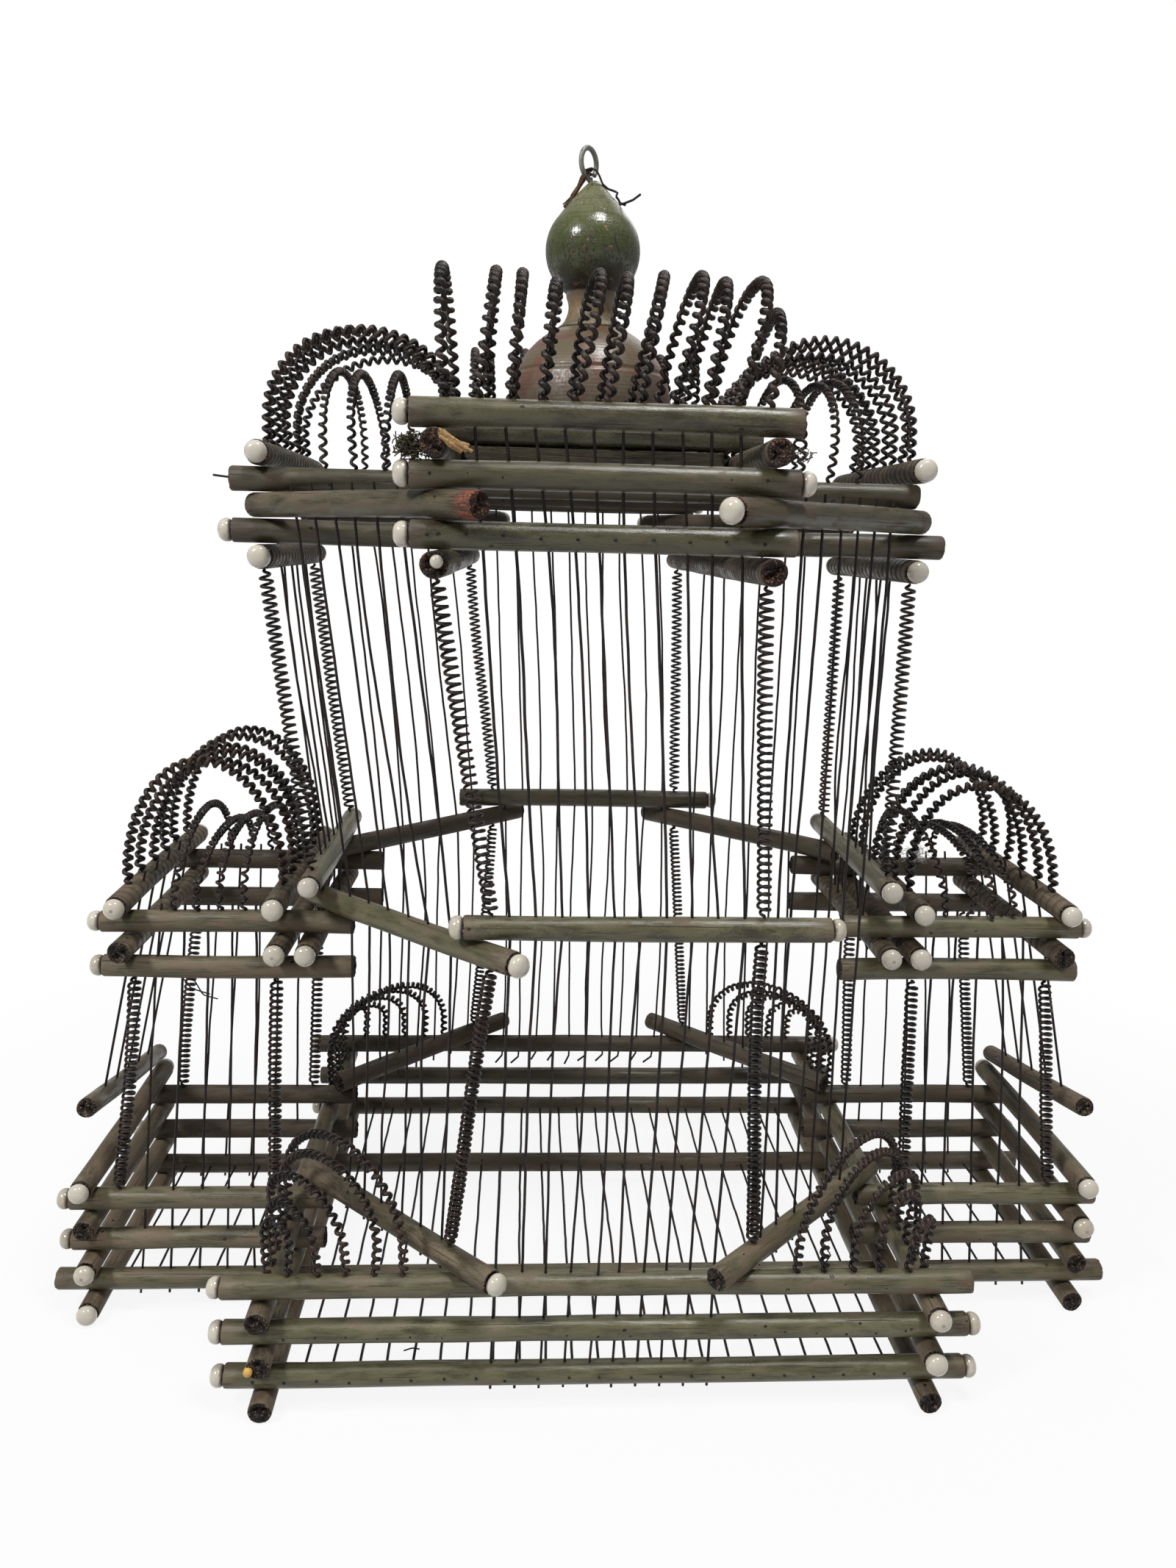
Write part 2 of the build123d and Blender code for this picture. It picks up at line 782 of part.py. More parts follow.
with BuildPart() as left_bay_coiled_post:
    path = coiled_post(
        (-bay_post_outer_x, -bay_rail_y, top_of(0, 5)),
        (-bay_post_outer_top_x, -bay_rail_y, ring_height),
        post_turns,
    )
print(f"coiled post: least gap to itself {least_gap(path, post_turns + 1):.2f} mm")
left_bay_coiled_post.part.label = "left_bay_coiled_post"
export_step(left_bay_coiled_post.part, "parts/left_bay_coiled_post.step")

# Arched roofs

vault_foot_y = crown_inner + vault_seat
vault_half = (crown_outer - vault_foot_y) / 2

for name, sy in (("front", -1), ("back", 1)):
    with BuildPart() as vault:
        for x in spread(vault_count, vault_pitch):
            across = Plane(
                origin=(crown_shift + x, sy * (crown_outer - vault_half), roof_z),
                x_dir=(0, 1, 0),
                z_dir=(1, 0, 0),
            )
            arch(across, vault_half, vault_leg, vault_half)
    vault.part.label = f"{name}_vault"
    export_step(vault.part, f"parts/{name}_vault.step")

side_vault_half = (crown_outer - crown_inner) / 2
side_rib_middle = crown_inner + side_vault_half

for side, sx in sides:
    with BuildPart() as side_vault:
        for y in spread(side_vault_count, side_vault_pitch):
            along = Plane(
                origin=(crown_shift + sx * side_rib_middle, y, top_of(crown_height, 4)),
                x_dir=(1, 0, 0),
                z_dir=(0, -1, 0),
            )
            arch(along, side_vault_half, side_vault_leg, side_vault_half)
    side_vault.part.label = f"{side}_vault"
    export_step(side_vault.part, f"parts/{side}_vault.step")

    with BuildPart() as side_ribs:
        for x in spread(side_rib_count, side_rib_pitch):
            across = Plane(
                origin=(crown_shift + sx * side_rib_middle + x, 0, top_of(crown_height, 3)),
                x_dir=(0, 1, 0),
                z_dir=(1, 0, 0),
            )
            arch(across, crown_inner, side_rib_leg, side_rib_rise)
    side_ribs.part.label = f"{side}_vault_ribs"
    export_step(side_ribs.part, f"parts/{side}_vault_ribs.step")

    bay_roof_half = (bay_top_sill_x - bay_top_inner_x) / 2
    with BuildPart() as bay_roof:
        for y in spread(bay_roof_count, bay_roof_pitch):
            along = Plane(
                origin=(sx * (bay_top_inner_x + bay_roof_half), y, top_of(ring_height, 3)),
                x_dir=(1, 0, 0),
                z_dir=(0, -1, 0),
            )
            arch(along, bay_roof_half, bay_roof_leg, bay_roof_half)
    bay_roof.part.label = f"{side}_bay_roof"
    export_step(bay_roof.part, f"parts/{side}_bay_roof.step")

    with BuildPart() as bay_ribs:
        for x in spread(bay_rib_count, bay_rib_pitch, bay_rib_first_x):
            across = Plane(
                origin=(sx * x, 0, top_of(ring_height, 2)), x_dir=(0, 1, 0), z_dir=(1, 0, 0)
            )
            arch(across, bay_rail_y, bay_rib_leg, bay_rib_rise)
    bay_ribs.part.label = f"{side}_bay_roof_ribs"
    export_step(bay_ribs.part, f"parts/{side}_bay_roof_ribs.step")

with BuildPart() as corner_arches:
    for sx, sy in corners:
        for x in spread(corner_arch_count, corner_arch_pitch, corner_arch_first_x):
            half = (side_rail_x - x) / 2
            upright = Plane(
                origin=(sx * (x + half), sy * (front_rail_y - half), top_of(0, 5)),
                x_dir=(-sx, sy, 0),
                z_dir=(sy, sx, 0),
            )
            arch(upright, half * math.sqrt(2), corner_arch_leg, half * math.sqrt(2), stick)
corner_arches.part.label = "corner_arches"
export_step(corner_arches.part, "parts/corner_arches.step")

# Doors

for side, sx in sides:
    with BuildPart() as door_rail:
        bar_between(
            (sx * door_x(door_rail_z(-door_half)), -door_half, door_rail_z(-door_half)),
            (sx * door_x(door_rail_z(door_half)), door_half, door_rail_z(door_half)),
            door_stick,
            stick_sides,
        )
    door_rail.part.label = f"{side}_door_rail"
    export_step(door_rail.part, f"parts/{side}_door_rail.step")

    with BuildPart() as door_wires:
        for y in door_wire_places:
            low = door_rail_z(y)
            slanted(
                [(0, y)],
                (sx * door_x(low), 0, low),
                (sx * door_x(door_wire_top), 0, door_wire_top),
                wire,
                wire_sides,
            )
    door_wires.part.label = f"{side}_door_wires"
    export_step(door_wires.part, f"parts/{side}_door_wires.step")

# Beads, on the ends that still have one


def along_x(ends):
    """Ends (side, end distance, y, z, shift) of sticks along X as points and directions."""
    return [((shift + sx * end, y, z), (sx, 0, 0)) for sx, end, y, z, shift in ends]


def along_y(ends):
    """Ends (side, end distance, x, z) of sticks along Y as points and directions."""
    return [((x, sy * end, z), (0, sy, 0)) for sy, end, x, z in ends]


with BuildPart() as base_beads:
    beads(
        along_x(
            [(-1, front_rail_half, -front_rail_y, middle(0, k), 0) for k in (1, 3, 5)]
            + [(1, front_rail_half, -front_rail_y, middle(0, k), 0) for k in (1, 3)]
            + [(sx, front_rail_half, front_rail_y, middle(0, k), 0) for sx in (-1, 1) for k in (1, 5)]
        )
        + along_y(
            [(-1, side_rail_half, side_rail_x, middle(0, k)) for k in (2, 4)]
            + [(1, side_rail_half, -side_rail_x, middle(0, k)) for k in (2, 4)]
        )
    )
    near, far = corner_ends(
        base_cross_x, front_rail_y, bay_rail_y, base_near_lap, base_far_lap, -1, -1, middle(0, 6)
    )
    beads([(near, (1, -1, 0))])
base_beads.part.label = "base_beads"
export_step(base_beads.part, "parts/base_beads.step")

bay_bead_steps = {"left": ((6, 2, 0), (5, 3)), "right": ((6, 4), ())}
bay_top_bead_steps = {"left": (0, 2), "right": (2,)}

for side, sx in sides:
    sill_steps, rail_steps = bay_bead_steps[side]
    with BuildPart() as bay_beads:
        beads(
            along_y([(-1, bay_sill_half, sx * bay_sill_x, middle(0, k)) for k in sill_steps])
            + along_y([(1, bay_sill_half, sx * bay_sill_x, middle(0, k)) for k in (6, 2)])
            + along_x([(sx, bay_rail_out, -bay_rail_y, middle(0, k), 0) for k in rail_steps])
            + along_x([(sx, bay_rail_out, bay_rail_y, middle(0, 3), 0)])
        )
        beads(
            along_x(
                [(sx, bay_top_out, -bay_rail_y, middle(ring_height, k), 0) for k in bay_top_bead_steps[side]]
                + [(sx, bay_top_out, bay_rail_y, middle(ring_height, 2), 0)]
            )
            + along_y(
                [
                    (-1, bay_top_sill_half, sx * bay_top_sill_x, middle(ring_height, 3)),
                    (-1, bay_top_sill_half, sx * bay_top_inner_x, middle(ring_height, 3)),
                    (-1, bay_top_sill_half, sx * bay_top_inner_x, middle(ring_height, 1)),
                    (-1, bay_top_sill_half, sx * bay_top_lower_x, middle(ring_height, 1)),
                    (1, bay_top_sill_half, sx * bay_top_sill_x, middle(ring_height, 3)),
                    (1, bay_top_sill_half, sx * bay_top_inner_x, middle(ring_height, 3)),
                ]
            )
        )
    bay_beads.part.label = f"{side}_bay_beads"
    export_step(bay_beads.part, f"parts/{side}_bay_beads.step")

with BuildPart() as ring_beads:
    ring_z = middle(ring_height, 4)
    beads(
        along_x(
            [
                (-1, ring_front_half, -ring_front_y, ring_z, ring_front_shift),
                (1, ring_front_half, -ring_front_y, ring_z, ring_front_shift),
                (1, ring_front_half, ring_front_y, ring_z, 0),
            ]
        )
        + along_y([(sy, ring_side_half, sx * ring_side_x, ring_z) for sx in (-1, 1) for sy in (-1, 1)])
    )
    near, far = corner_ends(
        ring_cross_x,
        ring_front_y,
        ring_front_y - (ring_side_x - ring_cross_x),
        ring_near_lap,
        ring_far_lap,
        -1,
        -1,
        middle(ring_height, 3),
    )
    beads([(near, (1, -1, 0))])
ring_beads.part.label = "ring_beads"
export_step(ring_beads.part, "parts/ring_beads.step")

with BuildPart() as crown_beads:
    beads(
        along_x(
            [(-1, crown_short_half, -crown_outer, middle(crown_height, k), crown_shift) for k in (1, 3, 5)]
            + [(1, crown_short_half, -crown_outer, middle(crown_height, 3), crown_shift)]
            + [
                (sx, crown_short_half, crown_outer, middle(crown_height, k), crown_shift)
                for sx in (-1, 1)
                for k in (3, 5)
            ]
            + [(-1, crown_long_half, sy * crown_inner, middle(crown_height, 1), crown_shift) for sy in (-1, 1)]
        )
        + along_y(
            [
                (sy, crown_side_half, crown_shift + sx * crown_outer, middle(crown_height, k))
                for sx in (-1, 1)
                for sy in (-1, 1)
                for k in (0, 4)
            ]
        )
    )
    for sx, sy in ((1, -1), (-1, 1), (1, 1)):
        near, far = corner_ends(
            crown_inner,
            crown_outer,
            crown_inner,
            crown_near_lap,
            crown_far_lap,
            sx,
            sy,
            middle(crown_height, 2),
            crown_shift,
        )
        beads([(near, (-sx, sy, 0))])
crown_beads.part.label = "crown_beads"
export_step(crown_beads.part, "parts/crown_beads.step")
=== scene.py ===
"""Looks of a hand-made wooden birdcage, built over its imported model.

Each stick, wire, arch and bead of the model is read back from its node and made again with its
real surface: round weathered sticks, wavy wires, arches and posts of coiled wire, porcelain beads,
a turned finial and mossy boards. Sizes in this file are millimetres unless a comment says metres.
"""

import functools
import json
import logging
import math
import random
from dataclasses import dataclass
from enum import Enum
from typing import Any, Callable, Mapping, Optional, Sequence

import bmesh
import bpy
import numpy as np
from mathutils import Matrix, Vector

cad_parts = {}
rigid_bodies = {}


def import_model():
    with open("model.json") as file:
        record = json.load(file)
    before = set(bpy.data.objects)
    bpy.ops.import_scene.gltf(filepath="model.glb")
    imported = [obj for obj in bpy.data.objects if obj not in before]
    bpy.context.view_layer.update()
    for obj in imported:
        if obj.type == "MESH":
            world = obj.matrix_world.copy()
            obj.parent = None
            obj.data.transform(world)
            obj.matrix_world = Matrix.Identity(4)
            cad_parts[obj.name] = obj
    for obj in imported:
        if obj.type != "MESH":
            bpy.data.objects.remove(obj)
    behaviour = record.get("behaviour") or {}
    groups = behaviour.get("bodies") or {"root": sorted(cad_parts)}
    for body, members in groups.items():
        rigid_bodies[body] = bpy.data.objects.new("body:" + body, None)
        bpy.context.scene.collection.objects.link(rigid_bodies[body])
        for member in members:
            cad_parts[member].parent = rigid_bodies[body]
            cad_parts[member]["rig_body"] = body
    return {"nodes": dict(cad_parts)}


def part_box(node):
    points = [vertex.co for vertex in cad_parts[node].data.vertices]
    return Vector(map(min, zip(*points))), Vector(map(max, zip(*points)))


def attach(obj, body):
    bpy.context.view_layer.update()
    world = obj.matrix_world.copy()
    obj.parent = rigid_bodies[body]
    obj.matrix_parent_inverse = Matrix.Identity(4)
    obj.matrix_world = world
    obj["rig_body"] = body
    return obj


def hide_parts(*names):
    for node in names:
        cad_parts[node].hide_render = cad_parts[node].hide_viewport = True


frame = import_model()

log = logging.getLogger("birdcage")

Point = np.ndarray
Colour = tuple[float, float, float]
Spot = tuple[float, float, float]
Line = tuple[Spot, ...]
Outline = tuple[tuple[float, float], ...]
Profile = Sequence[Sequence[float]]
Mesh = bpy.types.Mesh
Material = bpy.types.Material

METRE = 1000.0
UP = np.array([0.0, 0.0, 1.0])


class Slot(Enum):
    """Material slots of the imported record."""

    STICKS = "sticks"
    BOARDS = "boards"
    DOME = "dome"
    KNOB = "knob"
    BEADS = "beads"
    WIRES = "wires"
    COILS = "coils"
    EYE = "eye"


class Side(Enum):
    """The two sides of the cage that carry a bay and a door."""

    LEFT = -1
    RIGHT = 1

    @property
    def label(self) -> str:
        """Name of the side as the nodes spell it."""
        return self.name.lower()


# Node expressions, for shaders and for Geometry Nodes alike


class Value:
    """A socket of a node tree that can stand in a Python expression."""

    def __init__(self, graph: "Graph", socket: bpy.types.NodeSocket) -> None:
        """Wraps a socket of the graph's tree."""
        self.graph = graph
        self.socket = socket

    @property
    def is_vector(self) -> bool:
        """Whether the socket carries a vector."""
        return self.socket.type == "VECTOR"

    def math(self, operation: str, *others: Any) -> "Value":
        """Adds a Math or Vector Math node.

        Args:
            operation: Name of the node's operation.
            *others: The values or numbers after this one.

        Returns:
            The node's first output.
        """
        terms = [self, *others]
        vector = any(isinstance(t, Value) and t.is_vector or isinstance(t, tuple) for t in terms)
        kind = "ShaderNodeVectorMath" if vector else "ShaderNodeMath"
        terms = [(t, t, t) if vector and isinstance(t, (int, float)) else t for t in terms]
        return self.graph.node(kind, {"operation": operation}, dict(enumerate(terms)))

    def __add__(self, other: Any) -> "Value":
        """This plus another."""
        return self.math("ADD", other)

    __radd__ = __add__

    def __sub__(self, other: Any) -> "Value":
        """This less another."""
        return self.math("SUBTRACT", other)

    def __rsub__(self, other: Any) -> "Value":
        """Another less this."""
        return (self * -1.0) + other

    def __mul__(self, other: Any) -> "Value":
        """This times another; a vector times one number or value is scaled.

        Args:
            other: A number or another value.

        Returns:
            The product.
        """
        as_vector = isinstance(other, tuple) or isinstance(other, Value) and other.is_vector
        if self.is_vector and not as_vector:
            scaled = {0: self, "Scale": other}
            return self.graph.node("ShaderNodeVectorMath", {"operation": "SCALE"}, scaled)
        return self.math("MULTIPLY", other)

    __rmul__ = __mul__

    def __truediv__(self, other: Any) -> "Value":
        """This divided by another."""
        return self.math("DIVIDE", other)

    def least(self, other: Any) -> "Value":
        """The smaller of this and another."""
        return self.math("MINIMUM", other)

    def most(self, other: Any) -> "Value":
        """The larger of this and another."""
        return self.math("MAXIMUM", other)

    def fade(self, low: float, high: float) -> "Value":
        """Runs smoothly from one value to another.

        Args:
            low: Where the result is 0.
            high: Where it is 1; it may be the smaller of the two.

        Returns:
            A value from 0 to 1.
        """
        ends = {"Value": self, "From Min": min(low, high), "From Max": max(low, high)}
        ends.update({"To Min": float(low > high), "To Max": float(low < high)})
        return self.graph.node("ShaderNodeMapRange", {"interpolation_type": "SMOOTHSTEP"}, ends)


class Graph:
    """A node tree that is written as expressions."""

    def __init__(self, tree: bpy.types.NodeTree) -> None:
        """Takes over a tree."""
        self.tree = tree

    def node(
        self,
        kind: str,
        settings: Optional[Mapping[str, Any]] = None,
        inputs: Optional[Mapping[Any, Any]] = None,
        output: Any = 0,
    ) -> Value:
        """Adds a node of any type.

        Args:
            kind: Type name of the node.
            settings: Its properties, which are set first.
            inputs: Values or links by the socket's name or number.
            output: Name or number of the output that is returned.

        Returns:
            The chosen output.
        """
        made = self.tree.nodes.new(kind)
        for name, value in (settings or {}).items():
            setattr(made, name, value)
        for key, value in (inputs or {}).items():
            self.feed(made.inputs[key], value)
        return Value(self, made.outputs[output])

    def feed(self, socket: bpy.types.NodeSocket, value: Any) -> None:
        """Links a value into a socket, or sets the socket to a constant.

        Args:
            socket: The input socket.
            value: A value of this graph or a constant.
        """
        if isinstance(value, Value):
            self.tree.links.new(value.socket, socket)
        elif socket.type == "RGBA" and len(value) == 3:
            socket.default_value = (*value, 1.0)
        else:
            socket.default_value = value


class Surface(Graph):
    """The node tree of a material, with a Principled shader at its end."""

    def __init__(self, name: str) -> None:
        """Makes an empty material.

        Args:
            name: Name of the material.
        """
        self.material = bpy.data.materials.new(name)
        self.material.use_nodes = True
        super().__init__(self.material.node_tree)
        self.shader = self.tree.nodes["Principled BSDF"]

    def set(self, **sockets: Any) -> None:
        """Sets or links sockets of the shader, whose names are spelt with underscores."""
        for name, value in sockets.items():
            self.feed(self.shader.inputs[name.replace("_", " ")], value)

    def place(self) -> Value:
        """Object coordinates in millimetres."""
        return self.node("ShaderNodeTexCoord", output="Object") * METRE

    def attribute(self, name: str, output: str = "Fac") -> Value:
        """A value that the mesh carries."""
        return self.node("ShaderNodeAttribute", {"attribute_name": name}, output=output)

    def noise(
        self, at: Value, size: float, detail: float = 4.0, rough: float = 0.55, twist: float = 0.0
    ) -> Value:
        """Noise of the shader's own kind.

        Args:
            at: The place.
            size: How many millimetres its blobs are across.
            detail: Number of finer layers.
            rough: How strong the finer layers are.
            twist: How far the blobs are bent.

        Returns:
            A value about 0.5.
        """
        inputs = {"Vector": at, "Scale": 1.0 / size, "Detail": detail, "Roughness": rough}
        return self.node("ShaderNodeTexNoise", inputs={**inputs, "Distortion": twist})

    def cells(self, at: Value, size: float) -> Value:
        """Distances to the middles of cells about `size` millimetres across."""
        return self.node("ShaderNodeTexVoronoi", None, {"Vector": at, "Scale": 1.0 / size}, "Distance")

    def mix(self, share: Any, first: Any, second: Any) -> Value:
        """Mixes two colours."""
        return self.node("ShaderNodeMix", {"data_type": "RGBA"}, {0: share, 6: first, 7: second}, 2)

    def bump(self, height: Value, depth: float) -> Value:
        """A bumped normal; `depth` is the depth in millimetres of one unit of height."""
        inputs = {"Height": height, "Distance": depth / METRE, "Strength": 1.0}
        return self.node("ShaderNodeBump", inputs=inputs)

    def part(self, place: Value, axis: int = 2) -> Value:
        """One coordinate of a place, which is its height if no axis is named."""
        return self.node("ShaderNodeSeparateXYZ", inputs={0: place}, output=axis)


# Finishes


@dataclass(frozen=True)
class WornPaint:
    """Old olive paint on a round stick, streaked along it and worn to grey-brown wood at the ends.

    The mesh carries `faded`, from 0 for sound paint to 1 for bare weathered wood; `wrapped`, which is
    1 on the sticks that show close rings all along, with painted shade in their grooves;
    `sooty`, how dark a stick is painted, which is painted shade on the sticks at the back
    and under the crown's hoops, with a random darker tone of each stick; and `frayed`, how torn the
    nearer end is. `grain` is the place along and across the stick, and `end` the distance from the nearer
    end.
    """

    dark: Colour = (0.056, 0.051, 0.027)
    olive: Colour = (0.112, 0.110, 0.055)
    pale: Colour = (0.180, 0.168, 0.100)
    shade: Colour = (0.062, 0.043, 0.027)
    bare: Colour = (0.140, 0.100, 0.064)
    dry: Colour = (0.205, 0.163, 0.112)
    grime: Colour = (0.020, 0.013, 0.008)
    scratch: Colour = (0.36, 0.27, 0.16)
    # Near black for painted shade: on the sticks at the back, under the crown's hoops and in the grooves of
    # the close rings.
    soot: Colour = (0.014, 0.009, 0.005)
    torn: Colour = (0.270, 0.068, 0.028)
    worn_from_end: float = 11.0
    ring_pitch: float = 6.2
    ring_slant: float = 0.22
    hole_spacing: float = 9.5
    relief: float = 0.40

    def make(self) -> Material:
        """Builds the material.

        Returns:
            The material.
        """
        s = Surface("worn_olive_paint")
        grain = s.attribute("grain", "Vector")
        tone, end = s.attribute("tone"), s.attribute("end")
        faded, wrapped = s.attribute("faded"), s.attribute("wrapped")
        fibre = s.noise(grain * (1.0, 1.0, 0.09), 0.6, 4.0, 0.65)
        streak = s.noise(grain * (1.0, 1.0, 0.11), 2.0, 4.0, 0.55)
        patch = s.noise(grain * (1.0, 1.0, 0.30), 6.0, 5.0, 0.62, 0.5)
        drift = s.noise(grain * (0.3, 0.3, 1.0), 26.0, 2.0)
        speck = s.noise(grain * (1.0, 1.0, 0.4), 0.45, 3.0, 0.7)
        worn = (patch + faded * 0.30 + drift * 0.10).fade(0.66, 0.80)
        frayed = (end + (patch - 0.5) * 20.0).fade(self.worn_from_end, 0.5)
        bare = worn.most(frayed * 0.9)
        coat = fibre * 0.25 + streak * 0.30 + patch * 0.45
        paint = s.mix(coat.fade(0.38, 0.56), self.dark, self.olive)
        paint = s.mix((drift * 0.45 + patch * 0.35 + speck * 0.20).fade(0.50, 0.64) * 0.55, paint, self.pale)
        wood = s.mix((fibre * 0.40 + patch * 0.60).fade(0.36, 0.58), self.shade, self.bare)
        wood = s.mix((speck * 0.5 + drift * 0.5).fade(0.48, 0.68) * 0.55, wood, self.dry)
        base = s.mix(bare * 0.9, paint, wood)
        base = s.mix(faded * 0.45, base, wood)
        base = s.mix((speck * 0.6 + fibre * 0.4).fade(0.60, 0.70) * (0.12 + 0.4 * bare), base, self.scratch)
        hole = s.cells(grain * (1.0, 1.0, 0.8), self.hole_spacing).fade(0.080, 0.055)
        crack = s.noise(grain * (1.5, 1.5, 0.025), 1.0, 2.0, 0.5).fade(0.34, 0.29)
        dirt = (patch * 0.5 + speck * 0.3 + tone * 0.2).fade(0.46, 0.34)
        base = s.mix((crack * 0.8).most(hole).most(dirt * 0.55), base, self.grime)
        slanted = s.part(grain) + s.part(grain, 0) * self.ring_slant
        wave = (slanted * (2 * math.pi / self.ring_pitch) + (patch - 0.5) * 2.0).math("SINE")
        groove = wave.fade(0.55, 0.98) * wrapped
        # Painted shade: sticks at the back and under the crown's hoops are darkened, together with a random
        # darker tone of each stick.
        base = s.mix(s.attribute("sooty") * 0.66, base, self.soot)
        # Painted shade in the grooves of the close rings, which only the bump makes.
        base = s.mix(groove * 0.92, base, self.soot)
        shred = (s.attribute("frayed") * 2.0 - 1.0).most(0.0)
        torn = (end + (speck + patch - 1.0) * 16.0).fade(self.worn_from_end, 4.0) * shred
        base = s.mix(torn, base, s.mix((speck * 0.5 + fibre * 0.5).fade(0.44, 0.56), self.grime, self.torn))
        rough = 0.27 + bare * 0.30 + faded * 0.18 + (speck - 0.5) * 0.22 + crack * 0.2 + groove * 0.2
        height = fibre * 0.20 + streak * 0.24 + patch * 0.32 + speck * 0.10 - crack * 0.45 - hole * 1.2
        height = height - groove * 1.0 - wave * wrapped * 0.8 + torn * speck * 1.5
        s.set(Base_Color=base, Roughness=rough, Normal=s.bump(height, self.relief), Specular_IOR_Level=0.42)
        return s.material


@dataclass(frozen=True)
class TornGrain:
    """The bare end of a stick: near black, with red-orange fibres, fibrous and split."""

    dark: Colour = (0.010, 0.006, 0.004)
    red: Colour = (0.300, 0.075, 0.030)
    brown: Colour = (0.185, 0.138, 0.094)
    dry: Colour = (0.200, 0.135, 0.085)

    def make(self) -> Material:
        """Builds the material.

        Returns:
            The material.
        """
        s = Surface("torn_end_grain")
        grain = s.attribute("grain", "Vector")
        fibre = s.cells(grain * (1.0, 1.0, 0.4), 0.8)
        clump = s.noise(grain, 2.2, 5.0, 0.65, 0.8)
        split = s.noise(grain * (1.0, 0.16, 0.2), 1.4, 2.0).fade(0.42, 0.34)
        warm = s.mix(s.attribute("frayed"), self.brown, self.red)
        base = s.mix(fibre.fade(0.62, 0.22) * clump.fade(0.44, 0.56), self.dark, warm)
        base = s.mix((clump * (1.0 - fibre)).fade(0.46, 0.58) * 0.5, base, self.dry)
        base = s.mix(split, base, self.dark)
        height = clump * 1.1 - fibre * 0.8 - split * 1.2
        s.set(Base_Color=base, Roughness=0.86 + clump * 0.1, Normal=s.bump(height, 1.0))
        return s.material


@dataclass(frozen=True)
class RustyIron:
    """Dark iron wire with a brown skin of rust and a dull shine."""

    name: str
    dark: Colour = (0.006, 0.004, 0.0035)
    brown: Colour = (0.022, 0.012, 0.008)
    rust: Colour = (0.075, 0.030, 0.013)
    shine: float = 0.33
    rust_share: float = 0.5

    def make(self) -> Material:
        """Builds the material.

        Returns:
            The material.
        """
        s = Surface(self.name)
        place = s.place()
        skin = s.noise(place, 2.2, 4.0, 0.6)
        fine = s.noise(place, 0.45, 3.0, 0.7)
        drift = s.noise(place, 34.0, 2.0)
        brown = (skin * 0.6 + fine * 0.4 + (drift - 0.5) * 0.6).fade(0.38, 0.70)
        base = s.mix(brown, self.dark, self.brown)
        rusty = (skin * 0.7 + fine * 0.5 + (drift - 0.5) * 0.5).fade(0.68, 0.90)
        base = s.mix(rusty * self.rust_share, base, self.rust)
        rough = self.shine + brown * 0.20 + (fine - 0.5) * 0.25
        s.set(Base_Color=base, Roughness=rough, Metallic=0.30 - brown * 0.22, Specular_IOR_Level=0.35)
        s.set(Normal=s.bump(fine * 0.6 + skin * 0.4, 0.14))
        return s.material


@dataclass(frozen=True)
class Porcelain:
    """Glazed off-white porcelain with grime in its pits and painted shade round its foot, where it meets the
    stick.

    The mesh carries `tone`, a number for each bead, `height` above the bead's foot and `off`, the
    distance from its axis.
    """

    glaze: Colour = (0.50, 0.460, 0.382)
    cream: Colour = (0.34, 0.285, 0.205)
    # The grime colour serves the dirt and the pits, and the painted shade round the foot.
    grime: Colour = (0.085, 0.060, 0.038)

    def make(self) -> Material:
        """Builds the material.

        Returns:
            The material.
        """
        s = Surface("glazed_porcelain")
        place = s.place()
        tone, height, off = (s.attribute(name) for name in ("tone", "height", "off"))
        cloud = s.noise(place, 3.2, 4.0, 0.6)
        speck = s.noise(place, 0.55, 3.0, 0.75)
        base = s.mix((cloud * 0.5 + tone * 0.6).fade(0.58, 0.98) * 0.8, self.glaze, self.cream)
        # Painted shade round the foot, where the bead meets its stick; the grime colour paints it along with
        # the dirt and the pits.
        foot = (height + (cloud - 0.5) * 2.4).fade(1.5, 0.2)
        dirt = speck.fade(0.70, 0.78) * 0.6
        pit = off.fade(0.85, 0.55) * tone.fade(0.56, 0.60)
        base = s.mix(foot.most(dirt).most(pit) * 0.85, base, self.grime)
        rough = 0.10 + foot * 0.4 + dirt * 0.3
        relief = s.bump(cloud + speck * 0.2 - pit, 0.10)
        s.set(Base_Color=base, Roughness=rough, Normal=relief, Specular_IOR_Level=0.5)
        s.set(Coat_Weight=0.5, Coat_Roughness=0.06)
        return s.material


@dataclass(frozen=True)
class OldBoard:
    """Rough old board, cracked along its grain, with moss in it and specks of lichen on it."""

    name: str
    wood: Colour = (0.030, 0.021, 0.013)
    moss: Colour = (0.048, 0.042, 0.020)
    lichen: Colour = (0.33, 0.32, 0.14)
    dust: Colour = (0.110, 0.095, 0.062)
    grime: Colour = (0.008, 0.006, 0.004)
    overgrown: float = 0.0

    def make(self) -> Material:
        """Builds the material.

        Returns:
            The material.
        """
        s = Surface(self.name)
        place = s.place()
        grain = s.noise(place * (0.07, 1.0, 1.0), 0.9, 5.0, 0.65)
        clump = s.noise(place, 5.0, 6.0, 0.7)
        grit = s.noise(place, 0.6, 4.0, 0.75)
        spots = s.cells(place, 1.3)
        base = s.mix(grain.fade(0.35, 0.66), self.wood, self.moss)
        dusty = (clump * 0.5 + grit * 0.5).fade(0.52, 0.68)
        base = s.mix(dusty * (0.25 + 0.5 * self.overgrown), base, self.dust)
        tuft = spots.fade(0.42, 0.26) * (clump + grit * 0.3).fade(0.60, 0.72)
        base = s.mix(tuft * (0.85 * self.overgrown), base, self.lichen)
        crack = s.noise(place * (0.035, 1.0, 1.0), 1.6, 2.0, 0.5).fade(0.38, 0.33)
        base = s.mix(grit.fade(0.40, 0.30).most(crack) * 0.85, base, self.grime)
        height = clump * 0.8 + grit * 0.5 + tuft * 0.8 * self.overgrown + grain * 0.5 - crack * 1.2
        s.set(Base_Color=base, Roughness=0.92 - grain * 0.1, Normal=s.bump(height, 0.8))
        return s.material


